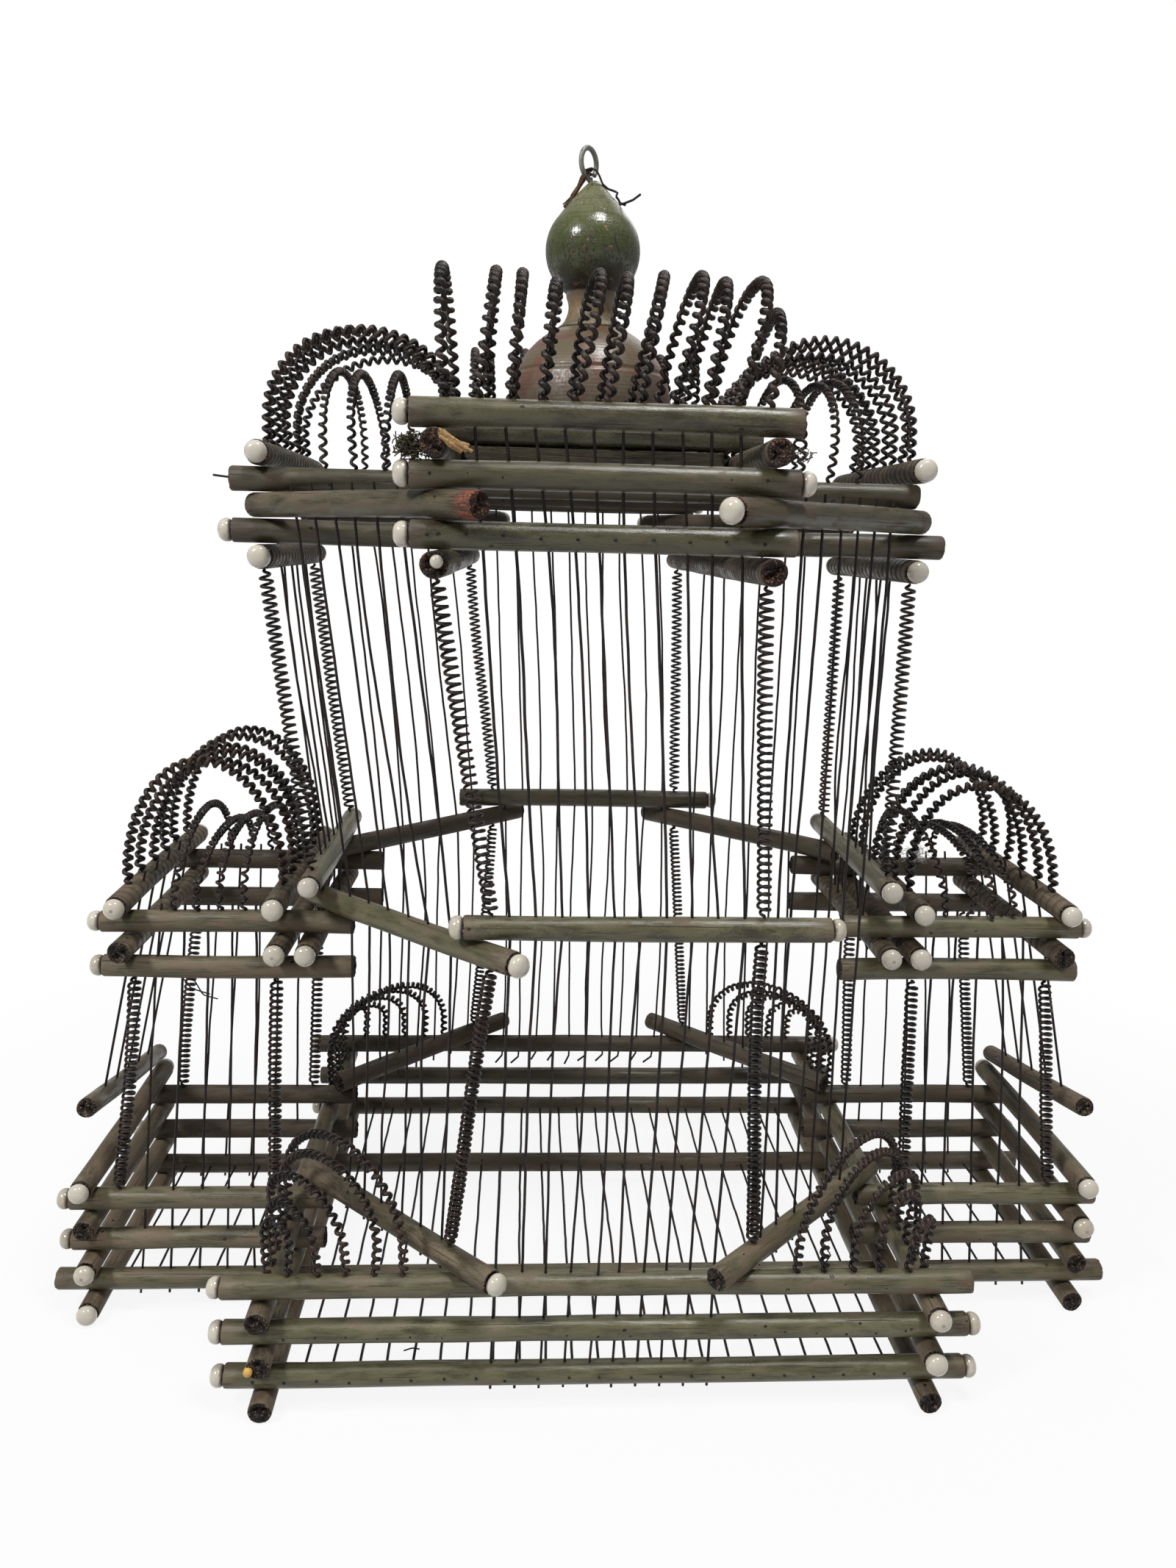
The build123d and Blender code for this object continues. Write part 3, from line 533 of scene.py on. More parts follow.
@dataclass(frozen=True)
class TurnedPaint:
    """Paint on a turned piece, with fine rings of the lathe, brush marks, pits and flakes."""

    name: str
    upper: Colour
    body: Colour
    lower: Colour
    flake: Colour
    low_z: float
    high_z: float
    gloss: float
    flaking: float
    pitted: float = 0.0
    patched: float = 0.0
    patch: Colour = (0.088, 0.080, 0.045)
    pit: Colour = (0.010, 0.007, 0.004)

    def make(self) -> Material:
        """Builds the material.

        Returns:
            The material.
        """
        s = Surface(self.name)
        place = s.place()
        share = (s.part(place) - self.low_z) / (self.high_z - self.low_z)
        ring = s.noise(place * (0.03, 0.03, 1.0), 0.9, 3.0, 0.6)
        cloud = s.noise(place * (1.0, 1.0, 0.6), 9.0, 4.0, 0.6, 0.4)
        brush = s.noise(place * (1.0, 1.0, 0.16), 1.3, 4.0, 0.65)
        speck = s.noise(place * (1.0, 1.0, 0.6), 1.0, 4.0, 0.7)
        chip = s.noise(place * (1.0, 1.0, 0.55), 3.4, 5.0, 0.62, 0.9)
        ramp = s.mix((share + (cloud - 0.5) * 0.40).fade(0.48, 0.86), self.body, self.upper)
        ramp = s.mix((share + (cloud - 0.5) * 0.35 + (brush - 0.5) * 0.25).fade(0.44, 0.14), ramp, self.lower)
        ramp = s.mix(brush.fade(0.50, 0.64) * 0.45 + ring.fade(0.50, 0.60) * 0.25, ramp, self.lower)
        ramp = s.mix((cloud * 0.5 + brush * 0.5).fade(0.52, 0.62) * 0.35, ramp, self.upper)
        ramp = s.mix((cloud * 0.7 + chip * 0.3).fade(0.44, 0.56) * self.patched, ramp, self.patch)
        pits = (speck * 0.65 + chip * 0.35).fade(0.50, 0.56) * share.fade(0.72, 0.45) * self.pitted
        base = s.mix(pits, ramp, self.pit)
        flake = (chip * 0.8 + speck * 0.2).fade(0.66 - self.flaking, 0.70 - self.flaking)
        base = s.mix(flake * 0.9, base, self.flake)
        dull = flake * 0.35 + pits * 0.25 + (speck - 0.5) * 0.16 + share.fade(0.45, 0.05) * 0.25
        relief = ring * 0.35 + brush * 0.45 + cloud * 0.8 - flake * 0.6 - pits * 0.5
        s.set(Base_Color=base, Roughness=self.gloss + dull, Specular_IOR_Level=0.5)
        s.set(Normal=s.bump(relief, 0.20))
        return s.material


@dataclass(frozen=True)
class PlainTint:
    """A small thing's finish: two tones that follow a fine noise."""

    name: str
    first: Colour
    second: Colour
    rough: float
    size: float = 0.8

    def make(self) -> Material:
        """Builds the material.

        Returns:
            The material.
        """
        s = Surface(self.name)
        place = s.place()
        fine = s.noise(place, self.size, 4.0, 0.7)
        s.set(
            Base_Color=s.mix(fine.fade(0.35, 0.68), self.first, self.second),
            Roughness=self.rough + fine * 0.15,
            Normal=s.bump(fine, 0.2),
        )
        return s.material


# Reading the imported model


LEVEL_GAP = 0.6
END_DEPTH = 0.5


@dataclass(frozen=True)
class Run:
    """The middle line of a straight or kneed solid, as points from one end to the other."""

    points: Point

    @property
    def length(self) -> float:
        """Length along the points."""
        return float(np.linalg.norm(np.diff(self.points, axis=0), axis=1).sum())

    def above(self, level: float) -> "Run":
        """The run with its foot brought up to a level, where it reaches below it.

        Args:
            level: Height of the lowest point that is kept.

        Returns:
            The shortened run.
        """
        points = self.points.copy()
        if points[0][2] < level:
            share = (level - points[0][2]) / (points[1][2] - points[0][2])
            points[0] += (points[1] - points[0]) * share
        return Run(points)


def unit(vector: Point) -> Point:
    """The vector at length one."""
    return vector / np.linalg.norm(vector)


def solids(node: str) -> list[Point]:
    """Corner points of each solid of a node.

    Args:
        node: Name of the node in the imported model.

    Returns:
        One array of points for each solid, in millimetres.
    """
    work = bmesh.new()
    work.from_mesh(frame["nodes"][node].data)
    bmesh.ops.remove_doubles(work, verts=work.verts, dist=1e-6)
    seen: set[int] = set()
    found = []
    for start in work.verts:
        if start.index in seen:
            continue
        seen.add(start.index)
        island, queue = [], [start]
        while queue:
            corner = queue.pop()
            island.append(corner.co[:])
            for edge in corner.link_edges:
                other = edge.other_vert(corner)
                if other.index not in seen:
                    seen.add(other.index)
                    queue.append(other)
        found.append(np.array(island) * METRE)
    work.free()
    return found


def by_levels(points: Point, axis: int) -> Run:
    """Middle line of a solid whose corners lie in level groups along an axis.

    Args:
        points: Corners of the solid.
        axis: Number of the axis to group along.

    Returns:
        A run through the middle of each group.
    """
    order = points[np.argsort(points[:, axis])]
    cuts = np.nonzero(np.diff(order[:, axis]) > LEVEL_GAP)[0] + 1
    return Run(np.array([group.mean(axis=0) for group in np.split(order, cuts)]))


def by_length(points: Point) -> Run:
    """Middle line of a straight bar with square ends, of any direction.

    Args:
        points: Corners of the bar.

    Returns:
        A run from end to end.
    """
    middle = points.mean(axis=0)
    along = np.linalg.svd(points - middle)[2][0]
    reach = (points - middle) @ along
    low = points[reach < reach.min() + END_DEPTH].mean(axis=0)
    high = points[reach > reach.max() - END_DEPTH].mean(axis=0)
    return Run(np.array([low, high]))


@dataclass(frozen=True)
class Arch:
    """An arch of the model: its feet, its plane and its height."""

    first: Point
    last: Point
    apex_z: float

    @staticmethod
    def read(points: Point, band: float) -> "Arch":
        """Reads an arch from its plain band.

        Args:
            points: Corners of the band.
            band: Thickness of the band.

        Returns:
            The arch along the band's middle line.
        """
        middle = points.mean(axis=0)
        normal = np.linalg.svd(points - middle)[2][2]
        across = unit(np.cross(UP, normal))
        reach = (points - middle) @ across
        centre = (reach.max() + reach.min()) / 2
        half = (reach.max() - reach.min()) / 2 - band / 2
        feet = []
        for way in (-1, 1):
            side = points[(reach - centre) * way > 0]
            foot = middle + across * (centre + way * half)
            feet.append(np.array([foot[0], foot[1], side[:, 2].min()]))
        return Arch(feet[0], feet[1], points[:, 2].max() - band / 2)

    @property
    def across(self) -> Point:
        """Level direction from the first foot to the last."""
        flat = self.last - self.first
        return unit(np.array([flat[0], flat[1], 0.0]))

    @property
    def ahead(self) -> Point:
        """Level direction square to the arch."""
        return np.cross(UP, self.across)


# Making meshes


def mesh_of(name: str, points: Point, faces: Sequence[Sequence[int]]) -> Mesh:
    """A mesh from points and faces.

    Args:
        name: Name of the mesh.
        points: Its points, in millimetres.
        faces: The point numbers of each face.

    Returns:
        The mesh, in metres.
    """
    mesh = bpy.data.meshes.new(name)
    mesh.from_pydata((np.asarray(points) / METRE).tolist(), [], [list(face) for face in faces])
    return mesh


def paint_points(mesh: Mesh, name: str, values: Point) -> None:
    """Stores a number or a vector for each point of a mesh.

    Args:
        mesh: The mesh.
        name: Name of the attribute.
        values: One number or one vector for each point.
    """
    values = np.asarray(values, np.float32)
    kind, key = ("FLOAT_VECTOR", "vector") if values.ndim > 1 else ("FLOAT", "value")
    mesh.attributes.new(name, kind, "POINT").data.foreach_set(key, values.ravel())


def smooth(mesh: Mesh) -> None:
    """Shades all faces smooth."""
    mesh.polygons.foreach_set("use_smooth", np.ones(len(mesh.polygons), bool))
    mesh.update()


def frame_along(along: Point) -> tuple[Point, Point]:
    """Two directions square to a direction and to each other.

    Args:
        along: The direction, at length one.

    Returns:
        The two directions, at length one.
    """
    helper = UP if abs(along[2]) < 0.8 else np.array([1.0, 0.0, 0.0])
    first = unit(np.cross(helper, along))
    return first, np.cross(along, first)


class PieceBuilder:
    """Collects rings of points into one closed skin after another."""

    def __init__(self) -> None:
        """Starts empty."""
        self.points: list[Point] = []
        self.faces: list[tuple[int, ...]] = []
        self.marks: list[int] = []
        self.values: dict[str, list[Point]] = {}
        self.count = 0

    def skin(self, rings: Sequence[Point], marks: Sequence[int], **values: Sequence[Point]) -> None:
        """Adds a closed skin.

        Args:
            rings: Rings of equally many points; the first and the last are closed by a fan.
            marks: A material number for each band, the two closing fans included.
            **values: For each attribute, one array for each ring.
        """
        per_ring, start = len(rings[0]), self.count
        self.points += rings
        for key, arrays in values.items():
            self.values.setdefault(key, []).extend(arrays)
        around = [(k, (k + 1) % per_ring) for k in range(per_ring)]
        for band in range(len(rings) - 1):
            low = start + band * per_ring
            self.faces += [(low + a, low + b, low + per_ring + b, low + per_ring + a) for a, b in around]
            self.marks += [marks[band + 1]] * per_ring
        top = start + (len(rings) - 1) * per_ring
        self.faces.append(tuple(range(start + per_ring - 1, start - 1, -1)))
        self.faces.append(tuple(range(top, top + per_ring)))
        self.marks += [marks[0], marks[-1]]
        self.count += per_ring * len(rings)

    def mesh(self, name: str) -> Mesh:
        """Turns what was collected into a mesh.

        Args:
            name: Name of the mesh.

        Returns:
            The mesh, with material numbers and attributes.
        """
        mesh = mesh_of(name, np.concatenate(self.points), self.faces)
        mesh.polygons.foreach_set("material_index", np.array(self.marks, np.int32))
        for key, arrays in self.values.items():
            paint_points(mesh, key, np.concatenate(arrays))
        smooth(mesh)
        return mesh


@dataclass(frozen=True)
class StickMaker:
    """Makes round, slightly uneven sticks with rough ends."""

    sides: int = 18
    station_step: float = 5.0
    bow: float = 0.5
    unevenness: float = 0.26
    end_profile: Outline = ((0.0, 0.30), (0.0, 0.62), (0.0, 0.88), (0.35, 0.965), (1.1, 1.0))
    tear_depth: float = 1.5
    split_depth: float = 1.6
    split_width: float = 0.14
    rim_wear: float = 0.45
    back_y: float = 30.0
    back_fade: float = 0.35
    # Painted shade on the sticks at the back of the cage.
    back_soot: float = 0.7
    fade_spread: float = 0.22
    soot_spread: float = 0.3
    crown_z: float = 330.0
    torn_z: float = 340.0
    slant: float = 60.0

    def mesh(
        self, name: str, runs: Sequence[Run], thickness: float, seed: int, faded: float, wrapped: float,
        soot: float,
    ) -> Mesh:
        """Builds one mesh of sticks.

        Args:
            name: Name of the mesh.
            runs: The middle line of each stick.
            thickness: Diameter of the sticks.
            seed: Seed of the unevenness.
            faded: How far the paint of the set is gone, from 0 to 1.
            wrapped: 1 where the sticks show close rings, whose grooves are painted dark as shade.
            soot: How dark the set is painted as shade, from 0 to 1.

        Returns:
            A mesh with the paint as material 0 and the end grain as material 1.
        """
        dice = random.Random(seed)
        builder = PieceBuilder()
        for run in runs:
            at_back = float(run.points[:, 1].mean() > self.back_y)
            share = faded + self.back_fade * at_back + dice.uniform(-self.fade_spread, self.fade_spread)
            share = min(max(share, 0.0), 1.0)
            # Painted shade for sticks at the back and for the whole set, plus a random darker tone of each
            # stick.
            sooty = min(at_back * self.back_soot + soot + dice.uniform(0.0, self.soot_spread), 1.0)
            self._stick(builder, run, thickness / 2, dice, faded=share, wrapped=wrapped, sooty=sooty)
        return builder.mesh(name)

    def _stick(
        self, builder: PieceBuilder, run: Run, radius: float, dice: random.Random, **finish: float
    ) -> None:
        """Adds one stick.

        Args:
            builder: Where the stick goes.
            run: Its middle line.
            radius: Half its thickness.
            dice: Source of chance.
            **finish: Numbers that its whole skin carries.
        """
        start, end = run.points[0], run.points[-1]
        length = run.length
        along = unit(end - start)
        first, second = frame_along(along)
        theta = np.linspace(0, 2 * math.pi, self.sides, endpoint=False)
        bow_way = dice.uniform(0, 2 * math.pi)
        waves = [(dice.randint(1, 3), dice.uniform(0.02, 0.11), dice.uniform(0, 6.3)) for _ in range(5)]
        offset = np.array([dice.uniform(-900, 900) for _ in range(3)])
        finish["tone"] = dice.random()
        split_way, split_side = dice.uniform(0, math.pi), dice.uniform(-0.25, 0.25)
        rim = self.end_profile[-1][0]
        middle = np.linspace(rim, length - rim, max(int(length / self.station_step), 2) + 1)[1:-1]
        stations = [*self.end_profile, *((s, 1.0) for s in middle)]
        stations += [(length - s, share) for s, share in reversed(self.end_profile)]
        rings, grains = [], []
        for number, (s, share) in enumerate(stations):
            lump = sum(np.cos(n * theta + k * s + p) for n, k, p in waves) / len(waves)
            radii = radius * share - 0.02 + self.unevenness * (lump - 0.35)
            tear = np.zeros(self.sides)
            if share < 0.7:
                tear = np.array([dice.uniform(0.1, self.tear_depth) for _ in theta])
                off = share * np.cos(theta - split_way) - split_side
                tear += np.where(np.abs(off) < self.split_width, self.split_depth, 0.0)
            elif share < 1.0:
                tear = np.array([dice.uniform(0, self.rim_wear) for _ in theta])
            reach = s + tear * (1 if number < len(stations) / 2 else -1)
            sway = self.bow * math.sin(math.pi * s / length)
            x, y = radii * np.cos(theta), radii * np.sin(theta)
            shift = first * math.cos(bow_way) * sway + second * math.sin(bow_way) * sway
            rings.append(start + np.outer(x, first) + np.outer(y, second) + np.outer(reach, along) + shift)
            grains.append(np.stack([x, y, reach], axis=1) + offset)
        marks = [1, 1, 1, 1] + [0] * (len(stations) - 7) + [1, 1, 1, 1]
        front = length if end[1] < start[1] else 0.0
        usual = dice.uniform(0.3, 0.55) if start[2] > self.crown_z else dice.uniform(0.0, 0.15)
        torn = 1.0 if self._torn_end(start, end) else usual
        levels = {key: [value] * len(stations) for key, value in finish.items()}
        levels["end"] = [min(s, length - s) for s, _ in stations]
        levels["frayed"] = [torn if abs(front - s) < length / 2 else 0.0 for s, _ in stations]
        flat = {key: [np.full(self.sides, value) for value in values] for key, values in levels.items()}
        builder.skin(rings, marks, grain=grains, **flat)

    def _torn_end(self, start: Point, end: Point) -> bool:
        """Whether this is the crown's slanting front left stick, with the bright torn end.

        Args:
            start: One end of the stick's middle line.
            end: The other end.

        Returns:
            True for that stick alone.
        """
        slanting = min(abs(end[0] - start[0]), abs(end[1] - start[1])) > self.slant
        front_left = start[0] + end[0] < -self.slant and start[1] + end[1] < 0
        return bool(start[2] > self.torn_z and slanting and front_left)


@dataclass(frozen=True)
class LatheMaker:
    """Turns outlines about an axis."""

    sides: int = 64

    def add(
        self, builder: PieceBuilder, outline: Profile, foot: Point, along: Point, **values: float
    ) -> None:
        """Adds a turned form.

        Args:
            builder: Where the form goes.
            outline: (radius, height) points from the foot.
            foot: Middle of the foot.
            along: Direction of the axis.
            **values: Numbers that all points of the form carry.
        """
        first, second = frame_along(along)
        theta = np.linspace(0, 2 * math.pi, self.sides, endpoint=False)
        rings = [
            foot + np.outer(r * np.cos(theta), first) + np.outer(r * np.sin(theta), second) + along * h
            for r, h in outline
        ]
        levels = {key: [value] * len(outline) for key, value in values.items()}
        levels["height"] = [h for _, h in outline]
        levels["off"] = [r for r, _ in outline]
        flat = {key: [np.full(self.sides, value) for value in column] for key, column in levels.items()}
        builder.skin(rings, [0] * (len(outline) + 1), **flat)

    def mesh(
        self, name: str, outline: Profile, foot: Point, along: Point, **values: float
    ) -> Mesh:
        """Makes a mesh of one turned form.

        Args:
            name: Name of the mesh.
            outline: (radius, height) points from the foot.
            foot: Middle of the foot.
            along: Direction of the axis.
            **values: Numbers that all points of the form carry.

        Returns:
            The mesh.
        """
        builder = PieceBuilder()
        self.add(builder, outline, foot, along, **values)
        return builder.mesh(name)


# Wire trees of Geometry Nodes


TreeStep = Callable[[Graph, Value, Mapping[str, Value]], Value]
WIRE_SOCKETS = {
    "Wire Radius": "Float", "Coil Radius": "Float", "Pitch": "Float", "Step": "Float", "Fade": "Float",
    "Unevenness": "Float", "Sides": "Int", "Seed": "Float",
}


class WireTrees:
    """The three Geometry Nodes trees: straight wire, coiled wire and pin heads."""

    def __init__(self) -> None:
        """Builds the trees."""
        self.straight = self._tree("Drawn wire", WIRE_SOCKETS, self._wire_skin(self._straight))
        self.coiled = self._tree("Coiled wire", WIRE_SOCKETS, self._wire_skin(self._coiled))
        self.pins = self._tree("Pin heads", {"Head Radius": "Float"}, self._pin_heads)

    @staticmethod
    def _tree(name: str, sockets: Mapping[str, str], fill: TreeStep) -> bpy.types.NodeTree:
        """A tree that turns the mesh it is on into smooth skins of one material.

        Args:
            name: Name of the tree.
            sockets: Its inputs by name, with their types.
            fill: Adds the nodes that make the skins.

        Returns:
            The tree.
        """
        tree = bpy.data.node_groups.new(name, "GeometryNodeTree")
        for label, kind in {"Geometry": "Geometry", **sockets, "Material": "Material"}.items():
            tree.interface.new_socket(label, in_out="INPUT", socket_type=f"NodeSocket{kind}")
        tree.interface.new_socket("Geometry", in_out="OUTPUT", socket_type="NodeSocketGeometry")
        graph = Graph(tree)
        given = tree.nodes.new("NodeGroupInput")
        ask = {socket.name: Value(graph, socket) for socket in given.outputs}
        whole = fill(graph, ask["Geometry"], ask)
        whole = graph.node("GeometryNodeRealizeInstances", inputs={"Geometry": whole})
        whole = graph.node("GeometryNodeSetShadeSmooth", inputs={"Geometry": whole})
        whole = graph.node("GeometryNodeSetMaterial", inputs={"Geometry": whole, "Material": ask["Material"]})
        graph.feed(tree.nodes.new("NodeGroupOutput").inputs["Geometry"], whole)
        return tree

    @staticmethod
    def _pin_heads(graph: Graph, points: Value, ask: Mapping[str, Value]) -> Value:
        """Sets a flat round head on every point.

        Args:
            graph: The tree.
            points: The points.
            ask: The tree's inputs by name.

        Returns:
            The heads.
        """
        ball = {"Segments": 8, "Rings": 5, "Radius": ask["Head Radius"]}
        head = graph.node("GeometryNodeMeshUVSphere", inputs=ball)
        inputs = {"Points": points, "Instance": head, "Scale": (1.0, 0.55, 1.0)}
        return graph.node("GeometryNodeInstanceOnPoints", inputs=inputs)

    @staticmethod
    def _wire_skin(bend: TreeStep) -> TreeStep:
        """The step that runs a round profile along middle lines, once `bend` has bent them.

        Args:
            bend: Moves the points of the middle lines.

        Returns:
            A step for `_tree`.
        """
        def skin(graph: Graph, edges: Value, ask: Mapping[str, Value]) -> Value:
            """Makes the skin of the wire.

            Args:
                graph: The tree.
                edges: The middle lines as edges.
                ask: The tree's inputs by name.

            Returns:
                The skin.
            """
            lines = graph.node("GeometryNodeMeshToCurve", inputs={"Mesh": edges})
            stepped = {"Curve": lines, "Length": ask["Step"]}
            lines = bend(graph, graph.node("GeometryNodeResampleCurve", {"mode": "LENGTH"}, stepped), ask)
            circle = {"Resolution": ask["Sides"], "Radius": ask["Wire Radius"]}
            profile = graph.node("GeometryNodeCurvePrimitiveCircle", inputs=circle)
            inputs = {"Curve": lines, "Profile Curve": profile, "Fill Caps": True}
            return graph.node("GeometryNodeCurveToMesh", inputs=inputs)

        return skin

    @staticmethod
    def _noise(graph: Graph, seed: Value, size: float, output: str) -> Value:
        """Noise over the place.

        Args:
            graph: The tree.
            seed: Number that the noise changes with.
            size: Size of its patches, in millimetres.
            output: The output of the noise node that is wanted.

        Returns:
            The noise.
        """
        place = graph.node("GeometryNodeInputPosition")
        settings = {"noise_dimensions": "4D"}
        inputs = {"Vector": place, "W": seed, "Scale": METRE / size, "Detail": 1.0}
        return graph.node("ShaderNodeTexNoise", settings, inputs, output)

    def _straight(self, graph: Graph, lines: Value, ask: Mapping[str, Value]) -> Value:
        """Gives straight wire its small kinks.

        Args:
            graph: The tree.
            lines: The middle lines as curves.
            ask: The tree's inputs by name.

        Returns:
            The kinked lines.
        """
        sway = self._noise(graph, ask["Seed"], 16.0, "Color")
        offset = graph.node("ShaderNodeVectorMath", {"operation": "SUBTRACT"}, {0: sway, 1: (0.5, 0.5, 0.5)})
        offset = offset * ask["Unevenness"]
        return graph.node("GeometryNodeSetPosition", inputs={"Geometry": lines, "Offset": offset})

    def _coiled(self, graph: Graph, lines: Value, ask: Mapping[str, Value]) -> Value:
        """Winds wire about its middle line, and lets the coil run out at both ends.

        Args:
            graph: The tree.
            lines: The middle lines as curves.
            ask: The tree's inputs by name.

        Returns:
            The wound lines.
        """
        along = graph.node("GeometryNodeSplineParameter", output="Length")
        total = graph.node("GeometryNodeSplineLength", output="Length")
        phase = graph.node("GeometryNodeInputNamedAttribute", {"data_type": "FLOAT"}, {"Name": "phase"})
        tangent = graph.node("GeometryNodeInputTangent")
        normal = graph.node("GeometryNodeInputNormal")
        beside = graph.node("ShaderNodeVectorMath", {"operation": "CROSS_PRODUCT"}, {0: tangent, 1: normal})
        uneven = self._noise(graph, ask["Seed"], 7.0, "Fac") - 0.5
        slip = self._noise(graph, ask["Seed"] + 7.0, 12.0, "Fac") - 0.5
        turn = (along / ask["Pitch"] + phase + slip * ask["Unevenness"]) * (-2 * math.pi)
        edge = (along.least(total - along) / ask["Fade"]).least(1.0)
        radius = ask["Coil Radius"] * edge * (uneven * ask["Unevenness"] * 2.0 + 1.0)
        offset = normal * (turn.math("COSINE") * radius) + beside * (turn.math("SINE") * radius)
        return graph.node("GeometryNodeSetPosition", inputs={"Geometry": lines, "Offset": offset})


@dataclass(frozen=True)
class Wire:
    """How a wire is drawn or wound."""

    thickness: float
    coil: float = 0.0
    pitch: float = 4.0
    steps_per_turn: int = 11
    step: float = 6.0
    fade: float = 3.0
    unevenness: float = 0.18
    sides: int = 6

    @property
    def coiled(self) -> bool:
        """Whether the wire is wound."""
        return self.coil > 0


# Middle lines of bent wire


BAR_STEP = 5.0
POST_STEP = 2.0
HOOP_STEP = 1.8
HOOP_SINK = 1.2
LEG_STEPS = 6


def wavy(run: Run, dice: random.Random, sway: float, step: float) -> Point:
    """Points along a kneed wire that bows a little between its knees.

    Args:
        run: The wire's middle line.
        dice: Source of chance.
        sway: Largest bow.
        step: Distance between points.

    Returns:
        The points of the bowed wire.
    """
    points = []
    for start, end in zip(run.points, run.points[1:]):
        along = end - start
        length = float(np.linalg.norm(along))
        first, second = frame_along(along / length)
        way = dice.uniform(0, 2 * math.pi)
        bow, curl = dice.uniform(-sway, sway), dice.uniform(-sway, sway) * 0.4
        side = first * math.cos(way) + second * math.sin(way)
        count = max(int(length / step), 2)
        for t in (k / count for k in range(count)):
            bend = bow * math.sin(math.pi * t) + curl * math.sin(2 * math.pi * t)
            points.append(start + along * t + side * bend)
    points.append(run.points[-1])
    return np.array(points)


def wavy_runs(
    node: str, dice: random.Random, sway: float, step: float = BAR_STEP, foot_z: float = -math.inf,
    axis: int = 2,
) -> list[Point]:
    """Middle lines of a node's wires, each bowed a little.

    Args:
        node: Name of the node.
        dice: Source of chance.
        sway: Largest bow.
        step: Distance between points.
        foot_z: Height that lower feet are brought up to.
        axis: Number of the axis that the wires run along.

    Returns:
        The points of each wire.
    """
    return [wavy(by_levels(points, axis).above(foot_z), dice, sway, step) for points in solids(node)]


@dataclass(frozen=True)
class HoopShape:
    """How far a hoop is from a perfect arch."""

    lean: float
    height: float
    bulge: float
    skew: float
    swing: float


@dataclass(frozen=True)
class HoopChance:
    """How unevenly the hoops of a node are bent; `lean_first` is the order of the draws."""

    heights: tuple[float, float]
    rise: float = 1.0
    lean: float = 5.0
    bulges: tuple[float, float] = (1.0, 1.06)
    skew: float = 3.0
    swing: float = 2.0
    lean_first: bool = False

    def draw(self, dice: random.Random) -> HoopShape:
        """Draws the shape of one hoop.

        Args:
            dice: Source of chance.

        Returns:
            The shape.
        """
        if self.lean_first:
            lean, height = dice.uniform(-self.lean, self.lean), dice.uniform(*self.heights)
        else:
            height, lean = dice.uniform(*self.heights), dice.uniform(-self.lean, self.lean)
        bulge, skew = dice.uniform(*self.bulges), dice.uniform(-self.skew, self.skew)
        return HoopShape(lean, self.rise * height, bulge, skew, dice.uniform(-self.swing, self.swing))


def hoop_path(arch: Arch, leg: float, shape: HoopShape) -> Point:
    """Middle line of a hoop of coiled wire: two legs and half an ellipse.

    Args:
        arch: The arch of the model.
        leg: Height of the straight legs above the higher foot.
        shape: How far the hoop is from a perfect arch.

    Returns:
        The points from foot to foot.
    """
    span = arch.last - arch.first
    half = math.hypot(span[0], span[1]) / 2
    middle = (arch.first + arch.last) / 2
    base = max(arch.first[2], arch.last[2])
    top = arch.apex_z - base
    rise = (top - leg) * shape.height

    def straight(way: int, foot_z: float) -> list[Point]:
        """Points of a leg, from inside its stick up to where the bend starts.

        Args:
            way: -1 for the first leg, 1 for the last.
            foot_z: Height of its foot.

        Returns:
            (across, height) points.
        """
        start = np.array([way * half, foot_z - HOOP_SINK])
        end = np.array([way * half * shape.bulge, base + leg])
        return [start + (end - start) * k / LEG_STEPS for k in range(LEG_STEPS)]

    steps = max(int(half * 3 / HOOP_STEP), 8)
    turns = [math.pi * k / steps for k in range(steps + 1)]
    bend = [(-half * shape.bulge * math.cos(t), base + leg + rise * math.sin(t)) for t in turns]
    points = []
    for across, z in straight(-1, arch.first[2]) + bend + straight(1, arch.last[2])[::-1]:
        share = max(z - base, 0.0) / top
        ahead = (shape.lean + shape.swing * across / half) * share
        place = np.array([middle[0], middle[1], z])
        points.append(place + arch.across * (across + shape.skew * share) + arch.ahead * ahead)
    return np.array(points)


# What all sub-assemblies share


STICK = 10.0
BAND = 4.4
COIL_BROWN = (0.040, 0.023, 0.016)
ROOF_WOOD = (0.050, 0.042, 0.024)
ROOF_MOSS = (0.075, 0.078, 0.034)


